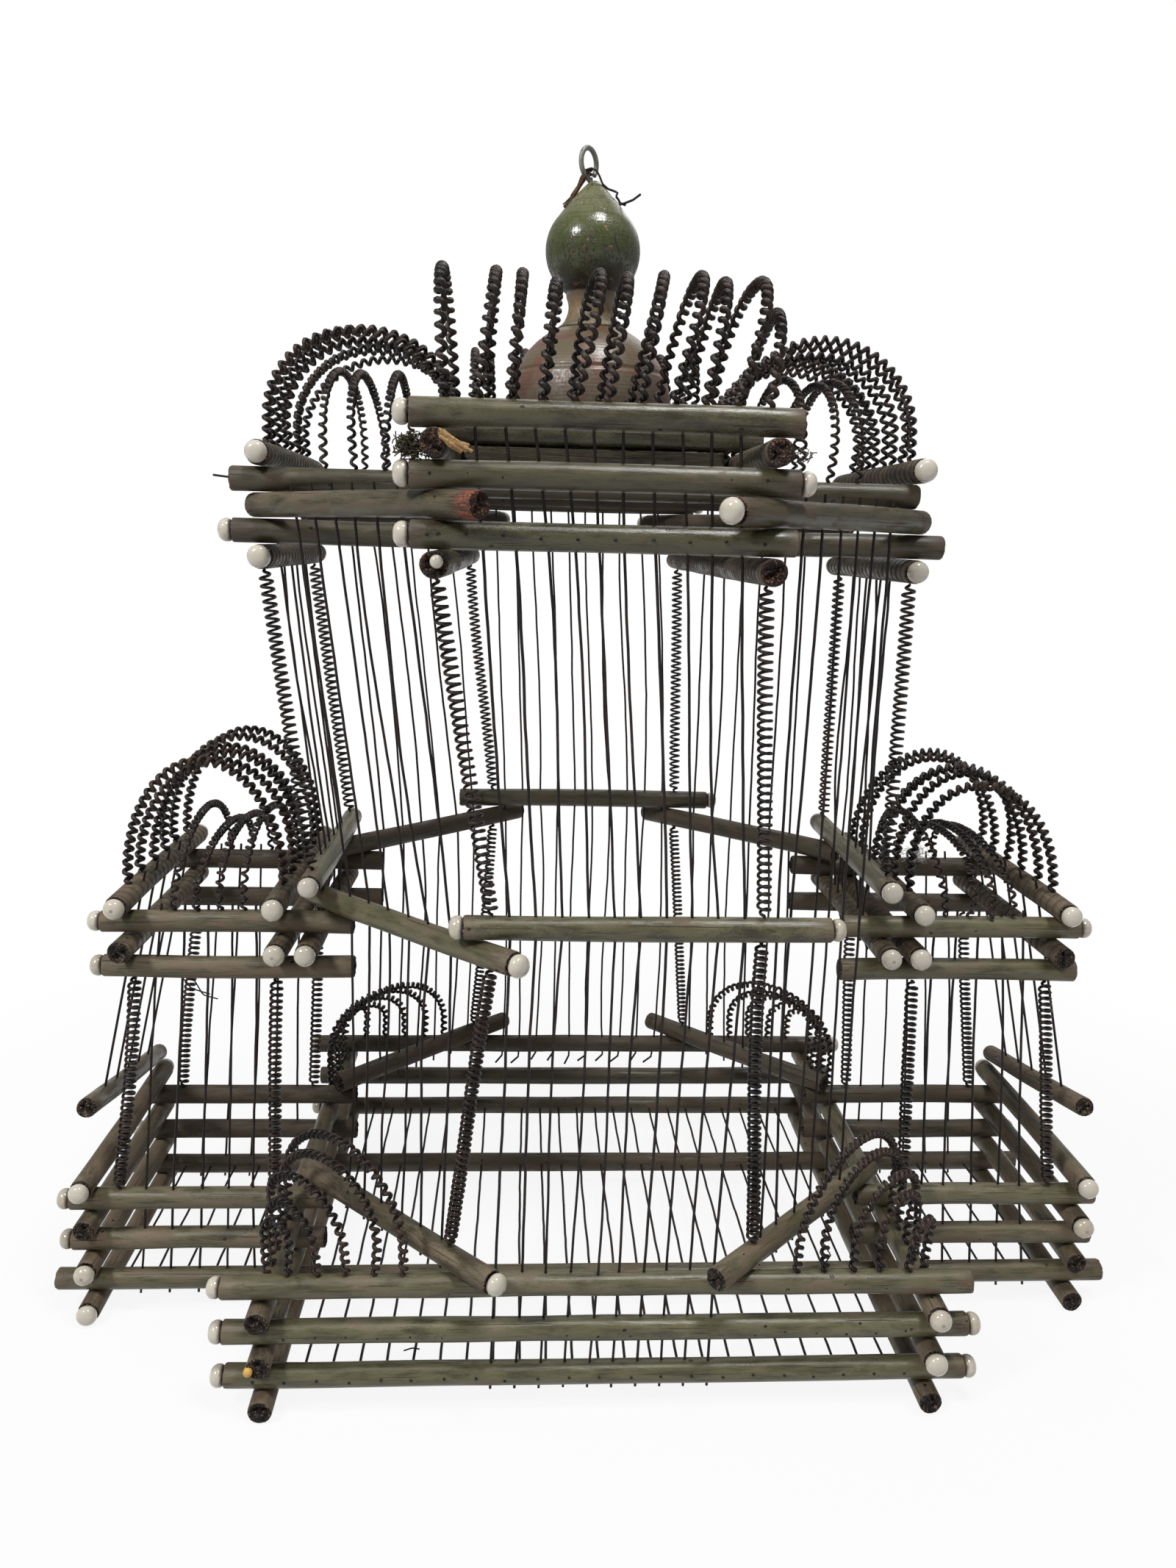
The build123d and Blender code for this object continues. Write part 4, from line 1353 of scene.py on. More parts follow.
class Shop:
    """Finishes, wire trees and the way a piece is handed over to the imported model."""

    def __init__(self) -> None:
        """Makes the finishes and the trees."""
        self.trees = WireTrees()
        self.paint = WornPaint().make()
        self.end_grain = TornGrain().make()
        self.wire_iron = RustyIron("dark_wire", shine=0.42, rust_share=0.25).make()
        self.coil_iron = RustyIron("rusty_coil", brown=COIL_BROWN, shine=0.34, rust_share=0.4).make()
        self.porcelain = Porcelain().make()
        self.ceiling = OldBoard("dark_cracked_board").make()
        self.roof = OldBoard("mossy_board", ROOF_WOOD, ROOF_MOSS, overgrown=1.0).make()
        self.sticks = StickMaker()

    @staticmethod
    def _placed(name: str, mesh: Mesh, materials: Sequence[Material]) -> bpy.types.Object:
        """Links a mesh into the scene as an object with its materials.

        Args:
            name: Name of the object.
            mesh: Its mesh, in metres.
            materials: Its materials; none keeps the mesh's own.

        Returns:
            The object.
        """
        for material in materials:
            mesh.materials.append(material)
        piece = bpy.data.objects.new(name, mesh)
        bpy.context.scene.collection.objects.link(piece)
        log.info("%s: %d faces", name, len(mesh.polygons))
        return piece

    def hand_over(
        self, name: str, mesh: Mesh, materials: Sequence[Material], slot: Slot, node: str
    ) -> None:
        """Puts a finished mesh into the scene in place of its node.

        Args:
            name: Name of the piece.
            mesh: Its mesh, in metres.
            materials: The materials in the order of the mesh's numbers; none keeps the mesh's own.
            slot: Material slot of the record; it is not used.
            node: Node that the piece stands for, and whose body it rides on.
        """
        piece = self._placed(name, mesh, materials)
        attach(piece, frame["nodes"][node]["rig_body"])
        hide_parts(node)

    def add_on(
        self, name: str, mesh: Mesh, materials: Sequence[Material], slot: Slot = Slot.WIRES
    ) -> None:
        """Puts a small extra piece, which stands for no node, on the cage.

        Args:
            name: Name of the piece.
            mesh: Its mesh, in metres.
            materials: Its materials; none keeps the mesh's own.
            slot: Material slot of the record; it is not used.
        """
        piece = self._placed(name, mesh, materials)
        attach(piece, "cage")

    def stick_sets(
        self, sets: Mapping[str, tuple[float, float]], thickness: float, seed: int, soot: float = 0.0
    ) -> None:
        """Makes the sticks of some nodes again, round and weathered.

        Args:
            sets: For each node, how far its paint is gone and how deep its close rings are.
            thickness: Diameter of the sticks.
            seed: Seed of the first node; each node after it has the next.
            soot: How dark they are painted as shade, from 0 to 1.
        """
        for number, (node, (faded, wrapped)) in enumerate(sets.items()):
            runs = [by_length(points) for points in solids(node)]
            mesh = self.sticks.mesh(node + "_wood", runs, thickness, seed + number, faded, wrapped, soot)
            self.hand_over(node + "_wood", mesh, [self.paint, self.end_grain], Slot.STICKS, node)

    def wires(self, node: str, paths: Sequence[Point], wire: Wire, seed: int, name: str = "") -> None:
        """Makes the wires of a node again, drawn or coiled.

        Args:
            node: Name of the node.
            paths: Points of each middle line.
            wire: How the wire is drawn or wound.
            seed: Seed of the phases and the unevenness.
            name: Name of the piece, where it isn't the node's with an ending.
        """
        name = name or node + ("_coiled" if wire.coiled else "_drawn")
        iron, slot = (self.coil_iron, Slot.COILS) if wire.coiled else (self.wire_iron, Slot.WIRES)
        self.hand_over(name, self.wire_mesh(name, paths, wire, iron, seed), [], slot, node)

    def hoops(
        self, node: str, leg: float, wire: Wire, chance: HoopChance, seed: int, dice_seed: int = 0
    ) -> None:
        """Makes the hoops of a node again, of coiled wire.

        Args:
            node: Name of the node.
            leg: Height of their straight legs.
            wire: How the wire is wound.
            chance: How unevenly they are bent.
            seed: Seed of the winding.
            dice_seed: Seed of the bends, where it is another one.
        """
        dice = random.Random(dice_seed or seed)
        paths = [hoop_path(Arch.read(points, BAND), leg, chance.draw(dice)) for points in solids(node)]
        self.wires(node, paths, wire, seed)

    def trim(
        self, name: str, paths: Sequence[Point], wire: Wire, finish: Material, seed: int,
        slot: Slot = Slot.WIRES,
    ) -> None:
        """Makes a small extra piece of wire, hair or chips.

        Args:
            name: Name of the piece.
            paths: Points of each middle line.
            wire: How thick and uneven they are.
            finish: Their material.
            seed: Seed of the unevenness.
            slot: Material slot of the record.
        """
        self.add_on(name, self.wire_mesh(name, paths, wire, finish, seed), [], slot)

    def wire_mesh(
        self, name: str, paths: Sequence[Point], wire: Wire, material: Material, seed: int
    ) -> Mesh:
        """Runs a wire tree along middle lines.

        Args:
            name: Name of the mesh.
            paths: Points of each middle line, in millimetres.
            wire: How the wire is drawn or wound.
            material: Its finish.
            seed: Seed of the phases and the unevenness.

        Returns:
            The plain mesh.
        """
        dice = random.Random(seed)
        points, edges, phases = [], [], []
        for path in paths:
            edges += [(k, k + 1) for k in range(len(points), len(points) + len(path) - 1)]
            points += [tuple(p / METRE) for p in path]
            phases += [dice.random()] * len(path)
        lines = bpy.data.meshes.new(name + "_lines")
        lines.from_pydata(points, edges, [])
        paint_points(lines, "phase", np.array(phases))
        tree = self.trees.coiled if wire.coiled else self.trees.straight
        step = wire.pitch / wire.steps_per_turn if wire.coiled else wire.step
        wanted = {
            "Wire Radius": wire.thickness / 2 / METRE,
            "Coil Radius": wire.coil / METRE,
            "Pitch": wire.pitch / METRE,
            "Step": step / METRE,
            "Fade": wire.fade / METRE,
            "Unevenness": wire.unevenness if wire.coiled else wire.unevenness * 2 / METRE,
            "Sides": wire.sides,
            "Seed": float(seed),
            "Material": material,
        }
        return self._grown(name, lines, tree, wanted)

    def pin_mesh(
        self, name: str, spots: Sequence[Spot], radius: float, material: Material
    ) -> Mesh:
        """Sets a pin head on every spot, with the tree of pin heads.

        Args:
            name: Name of the mesh.
            spots: Middles of the heads, in millimetres.
            radius: Radius of a head.
            material: Their finish.

        Returns:
            The plain mesh.
        """
        points = bpy.data.meshes.new(name + "_spots")
        points.from_pydata([tuple(v / METRE for v in spot) for spot in spots], [], [])
        wanted = {"Head Radius": radius / METRE, "Material": material}
        return self._grown(name, points, self.trees.pins, wanted)

    @staticmethod
    def _grown(
        name: str, source: Mesh, tree: bpy.types.NodeTree, wanted: Mapping[str, Any]
    ) -> Mesh:
        """Runs a tree on a mesh and keeps the plain result.

        Args:
            name: Name of the new mesh.
            source: The mesh that the tree starts from; it is removed.
            tree: The Geometry Nodes tree.
            wanted: The tree's inputs by name.

        Returns:
            The plain mesh.
        """
        base = bpy.data.objects.new(name + "_base", source)
        bpy.context.scene.collection.objects.link(base)
        modifier = base.modifiers.new("Tree", "NODES")
        modifier.node_group = tree
        for item in tree.interface.items_tree:
            if item.in_out == "INPUT" and item.name in wanted:
                modifier[item.identifier] = wanted[item.name]
        base.update_tag()
        bpy.context.view_layer.update()
        graph = bpy.context.evaluated_depsgraph_get()
        made = bpy.data.meshes.new_from_object(base.evaluated_get(graph), depsgraph=graph)
        made.name = name
        bpy.data.objects.remove(base)
        bpy.data.meshes.remove(source)
        if not made.materials:
            made.materials.append(wanted["Material"])
        return made


# Sub-assemblies


HOOP_WIRE = Wire(thickness=2.00, coil=1.30, pitch=4.6, unevenness=0.09, steps_per_turn=12, sides=7)
SIDE_HOOP_WIRE = Wire(thickness=1.80, coil=1.35, pitch=4.4, unevenness=0.12)
FINE_HOOP_WIRE = Wire(thickness=2.10, coil=1.42, pitch=4.0, unevenness=0.12)
RIB_WIRE = Wire(thickness=1.45, coil=1.25, pitch=4.6, unevenness=0.30)
CORNER_HOOP_WIRE = Wire(thickness=1.75, coil=1.30, pitch=3.9, unevenness=0.16)
UPPER_POST_WIRE = Wire(thickness=1.25, coil=2.45, pitch=3.1, unevenness=0.06, steps_per_turn=14)
LOWER_POST_WIRE = Wire(thickness=1.40, coil=2.25, pitch=2.6, unevenness=0.06, steps_per_turn=14)
BAY_POST_WIRE = Wire(thickness=1.35, coil=2.4, pitch=2.9, unevenness=0.06, steps_per_turn=14)
BAR_WIRE = Wire(thickness=1.15, unevenness=0.45)
BAR_FOOT_Z = 7.5


@dataclass
class Base:
    """The lowest belt: crossed sticks, corner sticks and floor wires."""

    shop: Shop
    thickness: float = STICK
    floor_wire: Wire = Wire(thickness=1.2, unevenness=0.5)
    floor_sway: float = 0.8

    def build(self) -> None:
        """Makes the sticks and the floor."""
        sets = {
            "base_front_back_rails": (0.12, 0.0), "base_side_rails": (0.6, 0.0), "floor_rails": (0.55, 0.0),
            "base_corner_rails": (0.4, 0.0),
        }
        self.shop.stick_sets(sets, self.thickness, 11)
        paths = wavy_runs("floor_wires", random.Random(15), self.floor_sway, axis=1)
        self.shop.wires("floor_wires", paths, self.floor_wire, 16)


@dataclass
class Ring:
    """The belt at the waist."""

    shop: Shop
    thickness: float = STICK

    def build(self) -> None:
        """Makes the sticks."""
        sets = {"ring_corner_rails": (0.45, 0.0), "ring_rails": (0.25, 0.0)}
        self.shop.stick_sets(sets, self.thickness, 31)


@dataclass
class Tower:
    """Bars, coiled posts and the little arches over the corners of the base."""

    shop: Shop
    bar: Wire = BAR_WIRE
    upper_post: Wire = UPPER_POST_WIRE
    lower_post: Wire = LOWER_POST_WIRE
    arch: Wire = CORNER_HOOP_WIRE
    bar_sway: float = 2.8
    post_sway: float = 2.0
    back_foot_z: float = 49.0
    corner_leg: float = 12.0
    corner_bends: HoopChance = HoopChance(heights=(0.60, 0.74), lean=4.0)

    def build(self) -> None:
        """Makes bars, posts and corner arches."""
        for seed, side in enumerate(("front", "back", "corner", "side"), 41):
            self._bars(f"tower_{side}_wires", seed)
        for seed, level, post in ((46, "lower", self.lower_post), (47, "upper", self.upper_post)):
            node = f"tower_{level}_posts"
            self.shop.wires(node, wavy_runs(node, random.Random(seed), self.post_sway, POST_STEP), post, seed)
        self.shop.hoops("corner_arches", self.corner_leg, self.arch, self.corner_bends, 50, 49)

    def _bars(self, node: str, seed: int) -> None:
        """Makes the bars of a node again, a little bowed; those of the back end in small hooks.

        Args:
            node: Name of the node.
            seed: Seed of the bows and the hooks.
        """
        dice = random.Random(seed)
        at_back = node == "tower_back_wires"
        paths = wavy_runs(node, dice, self.bar_sway, foot_z=self.back_foot_z if at_back else BAR_FOOT_Z)
        if at_back:
            paths = [self._hooked(path, dice) for path in paths]
        self.shop.wires(node, paths, self.bar, seed)

    @staticmethod
    def _hooked(path: Point, dice: random.Random) -> Point:
        """The bar with its lower end bent sideways under the stick that it passes.

        Args:
            path: Points of the bar from its foot.
            dice: Source of chance.

        Returns:
            The points with three more at the foot.
        """
        reach, drop = dice.uniform(2.0, 5.5), dice.uniform(3.5, 6.5)
        bends = ((1.0, -0.4, 1.0), (0.55, -0.2, 0.82), (0.18, 0.0, 0.45))
        hook = [(-reach * across, y, -drop * down) for across, y, down in bends]
        return np.vstack([path[0] + np.array(hook), path])


@dataclass
class Bay:
    """A side bay: its sticks, bars, posts and arched roof."""

    shop: Shop
    side: Side
    roof_rise: float
    thickness: float = STICK
    bar: Wire = BAR_WIRE
    post: Wire = BAY_POST_WIRE
    hoop: Wire = FINE_HOOP_WIRE
    rib: Wire = RIB_WIRE
    bar_sway: float = 2.0
    post_sway: float = 1.2
    roof_leg: float = 4.0
    rib_leg: float = 5.0
    rib_rise: float = 0.92

    def build(self) -> None:
        """Makes all parts of the bay."""
        bay, shop = f"{self.side.label}_bay", self.shop
        seed = 60 if self.side is Side.LEFT else 80
        sets = {
            "base_rails": (0.45, 0.0), "sills": (0.7, 0.0), "top_rails": (0.4, 0.0), "top_sills": (0.7, 0.5),
            "top_inner_rails": (0.7, 0.4),
        }
        shop.stick_sets({f"{bay}_{part}": looks for part, looks in sets.items()}, self.thickness, seed)
        paths = wavy_runs(bay + "_wires", random.Random(seed + 6), self.bar_sway, foot_z=BAR_FOOT_Z)
        shop.wires(bay + "_wires", paths, self.bar, seed + 7)
        self._posts(bay + "_posts", seed + 8)
        roof, ribs = HoopChance((0.94, 1.06), self.roof_rise), HoopChance((0.72, 1.12), self.rib_rise)
        shop.hoops(bay + "_roof", self.roof_leg, self.hoop, roof, seed + 9)
        shop.hoops(bay + "_roof_ribs", self.rib_leg, self.rib, ribs, seed + 10)

    def _posts(self, node: str, seed: int) -> None:
        """Makes the posts of coiled wire; the front outer one of the left bay has a node of its own.

        Args:
            node: Node of the other posts.
            seed: Seed of the bows.
        """
        dice = random.Random(seed)
        runs = [by_levels(points, 2) for points in solids(node)]
        self.shop.wires(node, [wavy(run, dice, self.post_sway, POST_STEP) for run in runs], self.post, seed)
        if self.side is Side.LEFT:
            outer = min(runs, key=lambda run: run.points[0][0])
            front = wavy(Run(outer.points * np.array([1.0, -1.0, 1.0])), dice, self.post_sway, POST_STEP)
            name = "left_bay_front_post_coiled"
            self.shop.wires("left_bay_coiled_post", [front], self.post, seed + 1, name)


@dataclass
class Door:
    """A sliding door: one stick and the wires that guide it."""

    shop: Shop
    side: Side
    thickness: float = 9.0
    wire: Wire = Wire(BAR_WIRE.thickness, unevenness=0.0)
    sway: float = 0.15

    def build(self) -> None:
        """Makes the stick and the wires."""
        name = f"{self.side.label}_door"
        seed = 100 if self.side is Side.LEFT else 104
        self.shop.stick_sets({name + "_rail": (0.6, 0.0)}, self.thickness, seed)
        paths = wavy_runs(name + "_wires", random.Random(seed + 1), self.sway)
        self.shop.wires(name + "_wires", paths, self.wire, seed + 2)


@dataclass
class Crown:
    """The top belt with its boards and its vaults of coiled wire."""

    shop: Shop
    thickness: float = STICK
    hoop: Wire = HOOP_WIRE
    side_hoop: Wire = SIDE_HOOP_WIRE
    rib: Wire = RIB_WIRE
    # How dark the crown's sticks are painted as shade under its hoops.
    soot: float = 0.62
    front_tops: tuple[float, ...] = (-65.7, -46.7, -37.4, -24.5, -10.6, -0.1, 13.3, 26.0, 35.2, 47.4, 55.9)
    front_heights: tuple[float, ...] = (0.94, 0.93, 0.92, 0.84, 0.93, 0.90, 0.93, 0.94, 0.90, 0.91, 0.62)
    bends: HoopChance = HoopChance(heights=(0.9, 1.02), bulges=(0.98, 1.05), lean_first=True)
    vault_leg: float = 13.5
    side_leg: float = 10.5
    rib_leg: float = 6.0
    board_step: float = 3.5
    board_waves: int = 14
    board_wear: float = 0.45
    board_lumps: float = 0.9
    board_chips: float = 1.4
    board_grit: float = 0.35

    def build(self) -> None:
        """Makes sticks, boards and vaults."""
        sets = {
            "crown_deep_rails": (0.7, 0.6), "crown_side_rails": (0.75, 1.0), "crown_wide_rails": (0.55, 0.0),
            "crown_cross_rails": (0.1, 0.0), "crown_corner_rails": (0.5, 0.0),
        }
        self.shop.stick_sets(sets, self.thickness, 120, self.soot)
        self._board("ceiling_board", self.shop.ceiling, 126)
        self._board("roof_board", self.shop.roof, 127)
        self._front_vault()
        self.shop.hoops("back_vault", self.vault_leg, self.hoop, self.bends, 131)
        for number, side in enumerate(("left", "right")):
            self.shop.hoops(f"{side}_vault", self.side_leg, self.side_hoop, self.bends, 132 + number)
            self.shop.hoops(f"{side}_vault_ribs", self.rib_leg, self.rib, self.bends, 134 + number)

    def _front_vault(self) -> None:
        """Makes the hoops over the front, which lean as the eleven of the real cage do."""
        arches = [Arch.read(points, BAND) for points in solids("front_vault")]
        arches.sort(key=lambda arch: arch.first[0])
        dice = random.Random(130)
        paths = []
        for arch, top, height in zip(arches, self.front_tops, self.front_heights):
            lean = (top - arch.first[0]) * float(np.sign(arch.ahead[0]))
            swing, skew = dice.uniform(-3.0, 3.0), dice.uniform(-2, 2)
            paths.append(hoop_path(arch, self.vault_leg, HoopShape(lean, height, 1.0, skew, swing)))
        self.shop.wires("front_vault", paths, self.hoop, 130)

    def _board(self, node: str, finish: Material, seed: int) -> None:
        """Makes a board again with a rough, chipped and overgrown surface.

        Args:
            node: Node of the board.
            finish: Its material.
            seed: Seed of the lumps and chips.
        """
        low, high = (np.array(corner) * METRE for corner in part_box(node))
        size, middle = high - low, (low + high) / 2
        work = bmesh.new()
        bmesh.ops.create_cube(work, size=1.0)
        cuts = int(size[0] / self.board_step)
        bmesh.ops.subdivide_edges(work, edges=work.edges, cuts=cuts, use_grid_fill=True)
        dice = random.Random(seed)
        waves = []
        for _ in range(self.board_waves):
            waves.append(np.array([dice.uniform(-0.5, 0.5) for _ in range(3)] + [dice.uniform(0, 6.3)]))
        for vert in work.verts:
            place = middle + np.array(vert.co) * size
            lump = sum(math.sin(float(wave[:3] @ place) + wave[3]) for wave in waves) / len(waves)
            outward = np.array(vert.co) * 2
            outward = np.where(np.abs(outward) > 0.99, np.sign(outward), 0.0)
            chip = self.board_chips if np.count_nonzero(outward) > 1 else 0.0
            depth = self.board_wear + self.board_lumps * lump + chip * (0.5 + lump)
            depth += dice.uniform(0, self.board_grit)
            vert.co = Vector((place - outward * max(depth, 0.0)) / METRE)
        mesh = bpy.data.meshes.new(node + "_rough")
        work.to_mesh(mesh)
        work.free()
        smooth(mesh)
        self.shop.hand_over(node + "_rough", mesh, [finish], Slot.BOARDS, node)


@dataclass
class Finial:
    """The turned dome and knob with the iron eye."""

    shop: Shop
    centre_x: float = -8.0
    dome_z: float = 405.5
    dome_height: float = 35.5
    dome_radius: float = 36.0
    dome_top_radius: float = 14.5
    dome_rings: int = 60
    groove_rings: tuple[int, ...] = (22, 23)
    groove_depth: float = 0.5
    tool_marks: Outline = ((0.10, 130.0), (0.05, 317.0))
    knob_z: float = 441.0
    flare: Outline = (
        (14.2, 0.0), (14.4, 0.7), (13.2, 1.5), (11.9, 3.0), (10.9, 5.0), (10.2, 7.2), (10.0, 9.0),
        (10.25, 11.0), (11.0, 13.0),
    )
    flare_height: float = 14.2
    neck_height: float = 14.5
    ball_foot: float = 15.0
    ball_z: float = 32.0
    ball_radius: float = 20.4
    tip_z: float = 60.0
    tip_radius: float = 2.2
    tip_hollow: float = 0.6
    ball_steps: int = 40
    tip_steps: int = 8
    eye_radius: float = 5.2
    eye_rise: float = 5.9
    eye_z: float = 508.4
    eye_x: float = -10.6
    eye_wire: Wire = Wire(2.2, step=0.6, unevenness=0.0, sides=12)
    eye_turn: float = 49.0
    eye_iron: RustyIron = RustyIron(
        "grey_iron", (0.13, 0.13, 0.12), (0.24, 0.235, 0.21), (0.16, 0.10, 0.07), shine=0.28, rust_share=0.2
    )
    dome_paint: TurnedPaint = TurnedPaint(
        "red_brown_dome", (0.096, 0.052, 0.030), (0.122, 0.046, 0.025), (0.080, 0.040, 0.024),
        (0.230, 0.130, 0.075), low_z=405.0, high_z=441.0, gloss=0.34, flaking=0.0, pitted=0.25, patched=0.75,
    )
    knob_paint: TurnedPaint = TurnedPaint(
        "green_brown_knob", (0.115, 0.118, 0.060), (0.052, 0.066, 0.012), (0.018, 0.012, 0.006),
        (0.330, 0.150, 0.060), low_z=449.0, high_z=501.0, gloss=0.15, flaking=0.06, pitted=1.0,
    )
    neck_paint: TurnedPaint = TurnedPaint(
        "yellow_brown_neck", (0.105, 0.068, 0.036), (0.230, 0.145, 0.068), (0.190, 0.155, 0.095),
        (0.400, 0.190, 0.070), low_z=440.0, high_z=457.0, gloss=0.34, flaking=0.04, pitted=0.35, patched=0.35,
    )

    def build(self) -> None:
        """Makes dome, knob and eye."""
        self._dome()
        self._knob()
        self._eye()

    def _turned(self, name: str, outline: Profile, foot_z: float) -> Mesh:
        """Turns an outline about the finial's axis."""
        return LatheMaker(80).mesh(name, outline, np.array([self.centre_x, 0, foot_z]), UP)

    def _dome(self) -> None:
        """Turns the dome, with a groove below its top."""
        high, wide = self.dome_height, self.dome_radius
        drop = (high**2 + self.dome_top_radius**2 - wide**2) / (2 * high)
        ball = math.hypot(wide, drop)
        start, end = math.atan2(-drop, wide), math.atan2(high - drop, self.dome_top_radius)
        outline = [(wide - 1.5, 0.0), (wide - 0.4, 0.25)]
        for k in range(self.dome_rings + 1):
            a = start + (end - start) * (0.015 + 0.985 * k / self.dome_rings)
            mark = sum(depth * math.sin(a * rate) for depth, rate in self.tool_marks)
            groove = self.groove_depth if k in self.groove_rings else 0.0
            r = ball + mark - groove
            outline.append((r * math.cos(a) - 0.1, drop + r * math.sin(a) - 0.1))
        outline.append((self.dome_top_radius - 2.0, high - 0.3))
        mesh = self._turned("finial_dome_turned", outline, self.dome_z)
        self.shop.hand_over("finial_dome_turned", mesh, [self.dome_paint.make()], Slot.DOME, "finial_dome")

    def _knob(self) -> None:
        """Turns the foot, the neck and the onion above it."""
        start = -math.asin((self.ball_z - self.ball_foot) / self.ball_radius)
        rise = self.tip_z - self.ball_z
        end = math.atan2(rise, self.tip_radius)
        end -= math.acos(self.ball_radius / math.hypot(rise, self.tip_radius))
        ball = []
        for a in (start + (end - start) * k / self.ball_steps for k in range(self.ball_steps + 1)):
            ball.append((self.ball_radius * math.cos(a), self.ball_z + self.ball_radius * math.sin(a)))
        first, last = np.array(ball[-1]), np.array([self.tip_radius, self.tip_z])
        tip = []
        for t in (k / self.tip_steps for k in range(1, self.tip_steps + 1)):
            tip.append(first + (last - first) * t + np.array([self.tip_hollow * math.sin(math.pi * t), 0.0]))
        tip.append((self.tip_radius - 0.9, self.tip_z))
        outline = [*self.flare, *((r, h) for r, h in ball if h > self.flare_height), *tip]
        mesh = self._turned("finial_knob_turned", outline, self.knob_z)
        neck_top = (self.knob_z + self.neck_height) / METRE
        marks = [int(face.center.z < neck_top) for face in mesh.polygons]
        mesh.polygons.foreach_set("material_index", np.array(marks, np.int32))
        finishes = [self.knob_paint.make(), self.neck_paint.make()]
        self.shop.hand_over("finial_knob_turned", mesh, finishes, Slot.KNOB, "finial_knob")

    def _eye(self) -> None:
        """Bends the ring of the eye and its shank."""
        turn = math.radians(self.eye_turn)
        across = np.array([math.cos(turn), math.sin(turn), 0.0])
        centre = np.array([self.eye_x, 0.0, self.eye_z])
        ring = [
            centre + across * (self.eye_radius * math.sin(a)) - UP * (self.eye_rise * math.cos(a))
            for a in np.linspace(-0.35, -2 * math.pi + 0.80, 40)
        ]
        foot = np.array([self.centre_x, 0.0, self.knob_z + self.tip_z])
        path = np.array([foot - UP * 7.0, foot - UP * 1.5] + ring)
        mesh = self.shop.wire_mesh("hanging_eye_bent", [path], self.eye_wire, self.eye_iron.make(), 151)
        self.shop.hand_over("hanging_eye_bent", mesh, [], Slot.EYE, "hanging_eye")


@dataclass
class Beads:
    """Porcelain beads on the ends of the sticks."""

    shop: Shop
    outline: Outline = (
        (3.5, 0.0), (4.1, 0.25), (4.5, 0.9), (4.7, 1.8), (4.66, 2.6), (4.35, 3.5), (3.75, 4.3), (2.9, 4.9),
        (1.8, 5.25), (0.7, 5.38),
    )
    height: float = 5.4
    rim_corners: int = 6
    face_depth: float = 0.05
    misfit: float = 9.0
    least_share: float = 0.93
    groups: tuple[str, ...] = ("base_beads", "left_bay_beads", "right_bay_beads", "ring_beads", "crown_beads")

    def build(self) -> None:
        """Makes the beads of each group again."""
        lathe = LatheMaker(20)
        for number, node in enumerate(self.groups):
            dice = random.Random(160 + number)
            builder = PieceBuilder()
            for points in solids(node):
                foot, outward = self._read(points)
                share = dice.uniform(self.least_share, 1.0)
                outline = [(r * share, h) for r, h in self.outline]
                lathe.add(builder, outline, foot, outward, tone=dice.random())
            mesh = builder.mesh(node + "_glazed")
            self.shop.hand_over(node + "_glazed", mesh, [self.shop.porcelain], Slot.BEADS, node)

    def _read(self, points: Point) -> tuple[Point, Point]:
        """Finds the foot and the outward direction of a bead.

        Args:
            points: Corners of the bead.

        Returns:
            The middle of its foot, and the direction of its axis.
        """
        best: tuple[float, Point, Point] = (math.inf, points[0], UP)
        for k in range(8):
            outward = np.array([math.cos(k * math.pi / 4), math.sin(k * math.pi / 4), 0.0])
            reach = points @ outward
            low = points[reach < reach.min() + self.face_depth]
            high = points[reach > reach.max() - self.face_depth]
            spread = np.linalg.norm(high - high.mean(axis=0), axis=1).max()
            wide = np.linalg.norm(low - low.mean(axis=0), axis=1).max()
            fault = abs(reach.max() - reach.min() - self.height)
            fault += 0.0 if len(low) == len(high) == self.rim_corners else self.misfit
            fault += 0.0 if spread < wide else self.misfit
            if fault < best[0]:
                best = (fault, low.mean(axis=0), outward)
        return best[1], best[2]


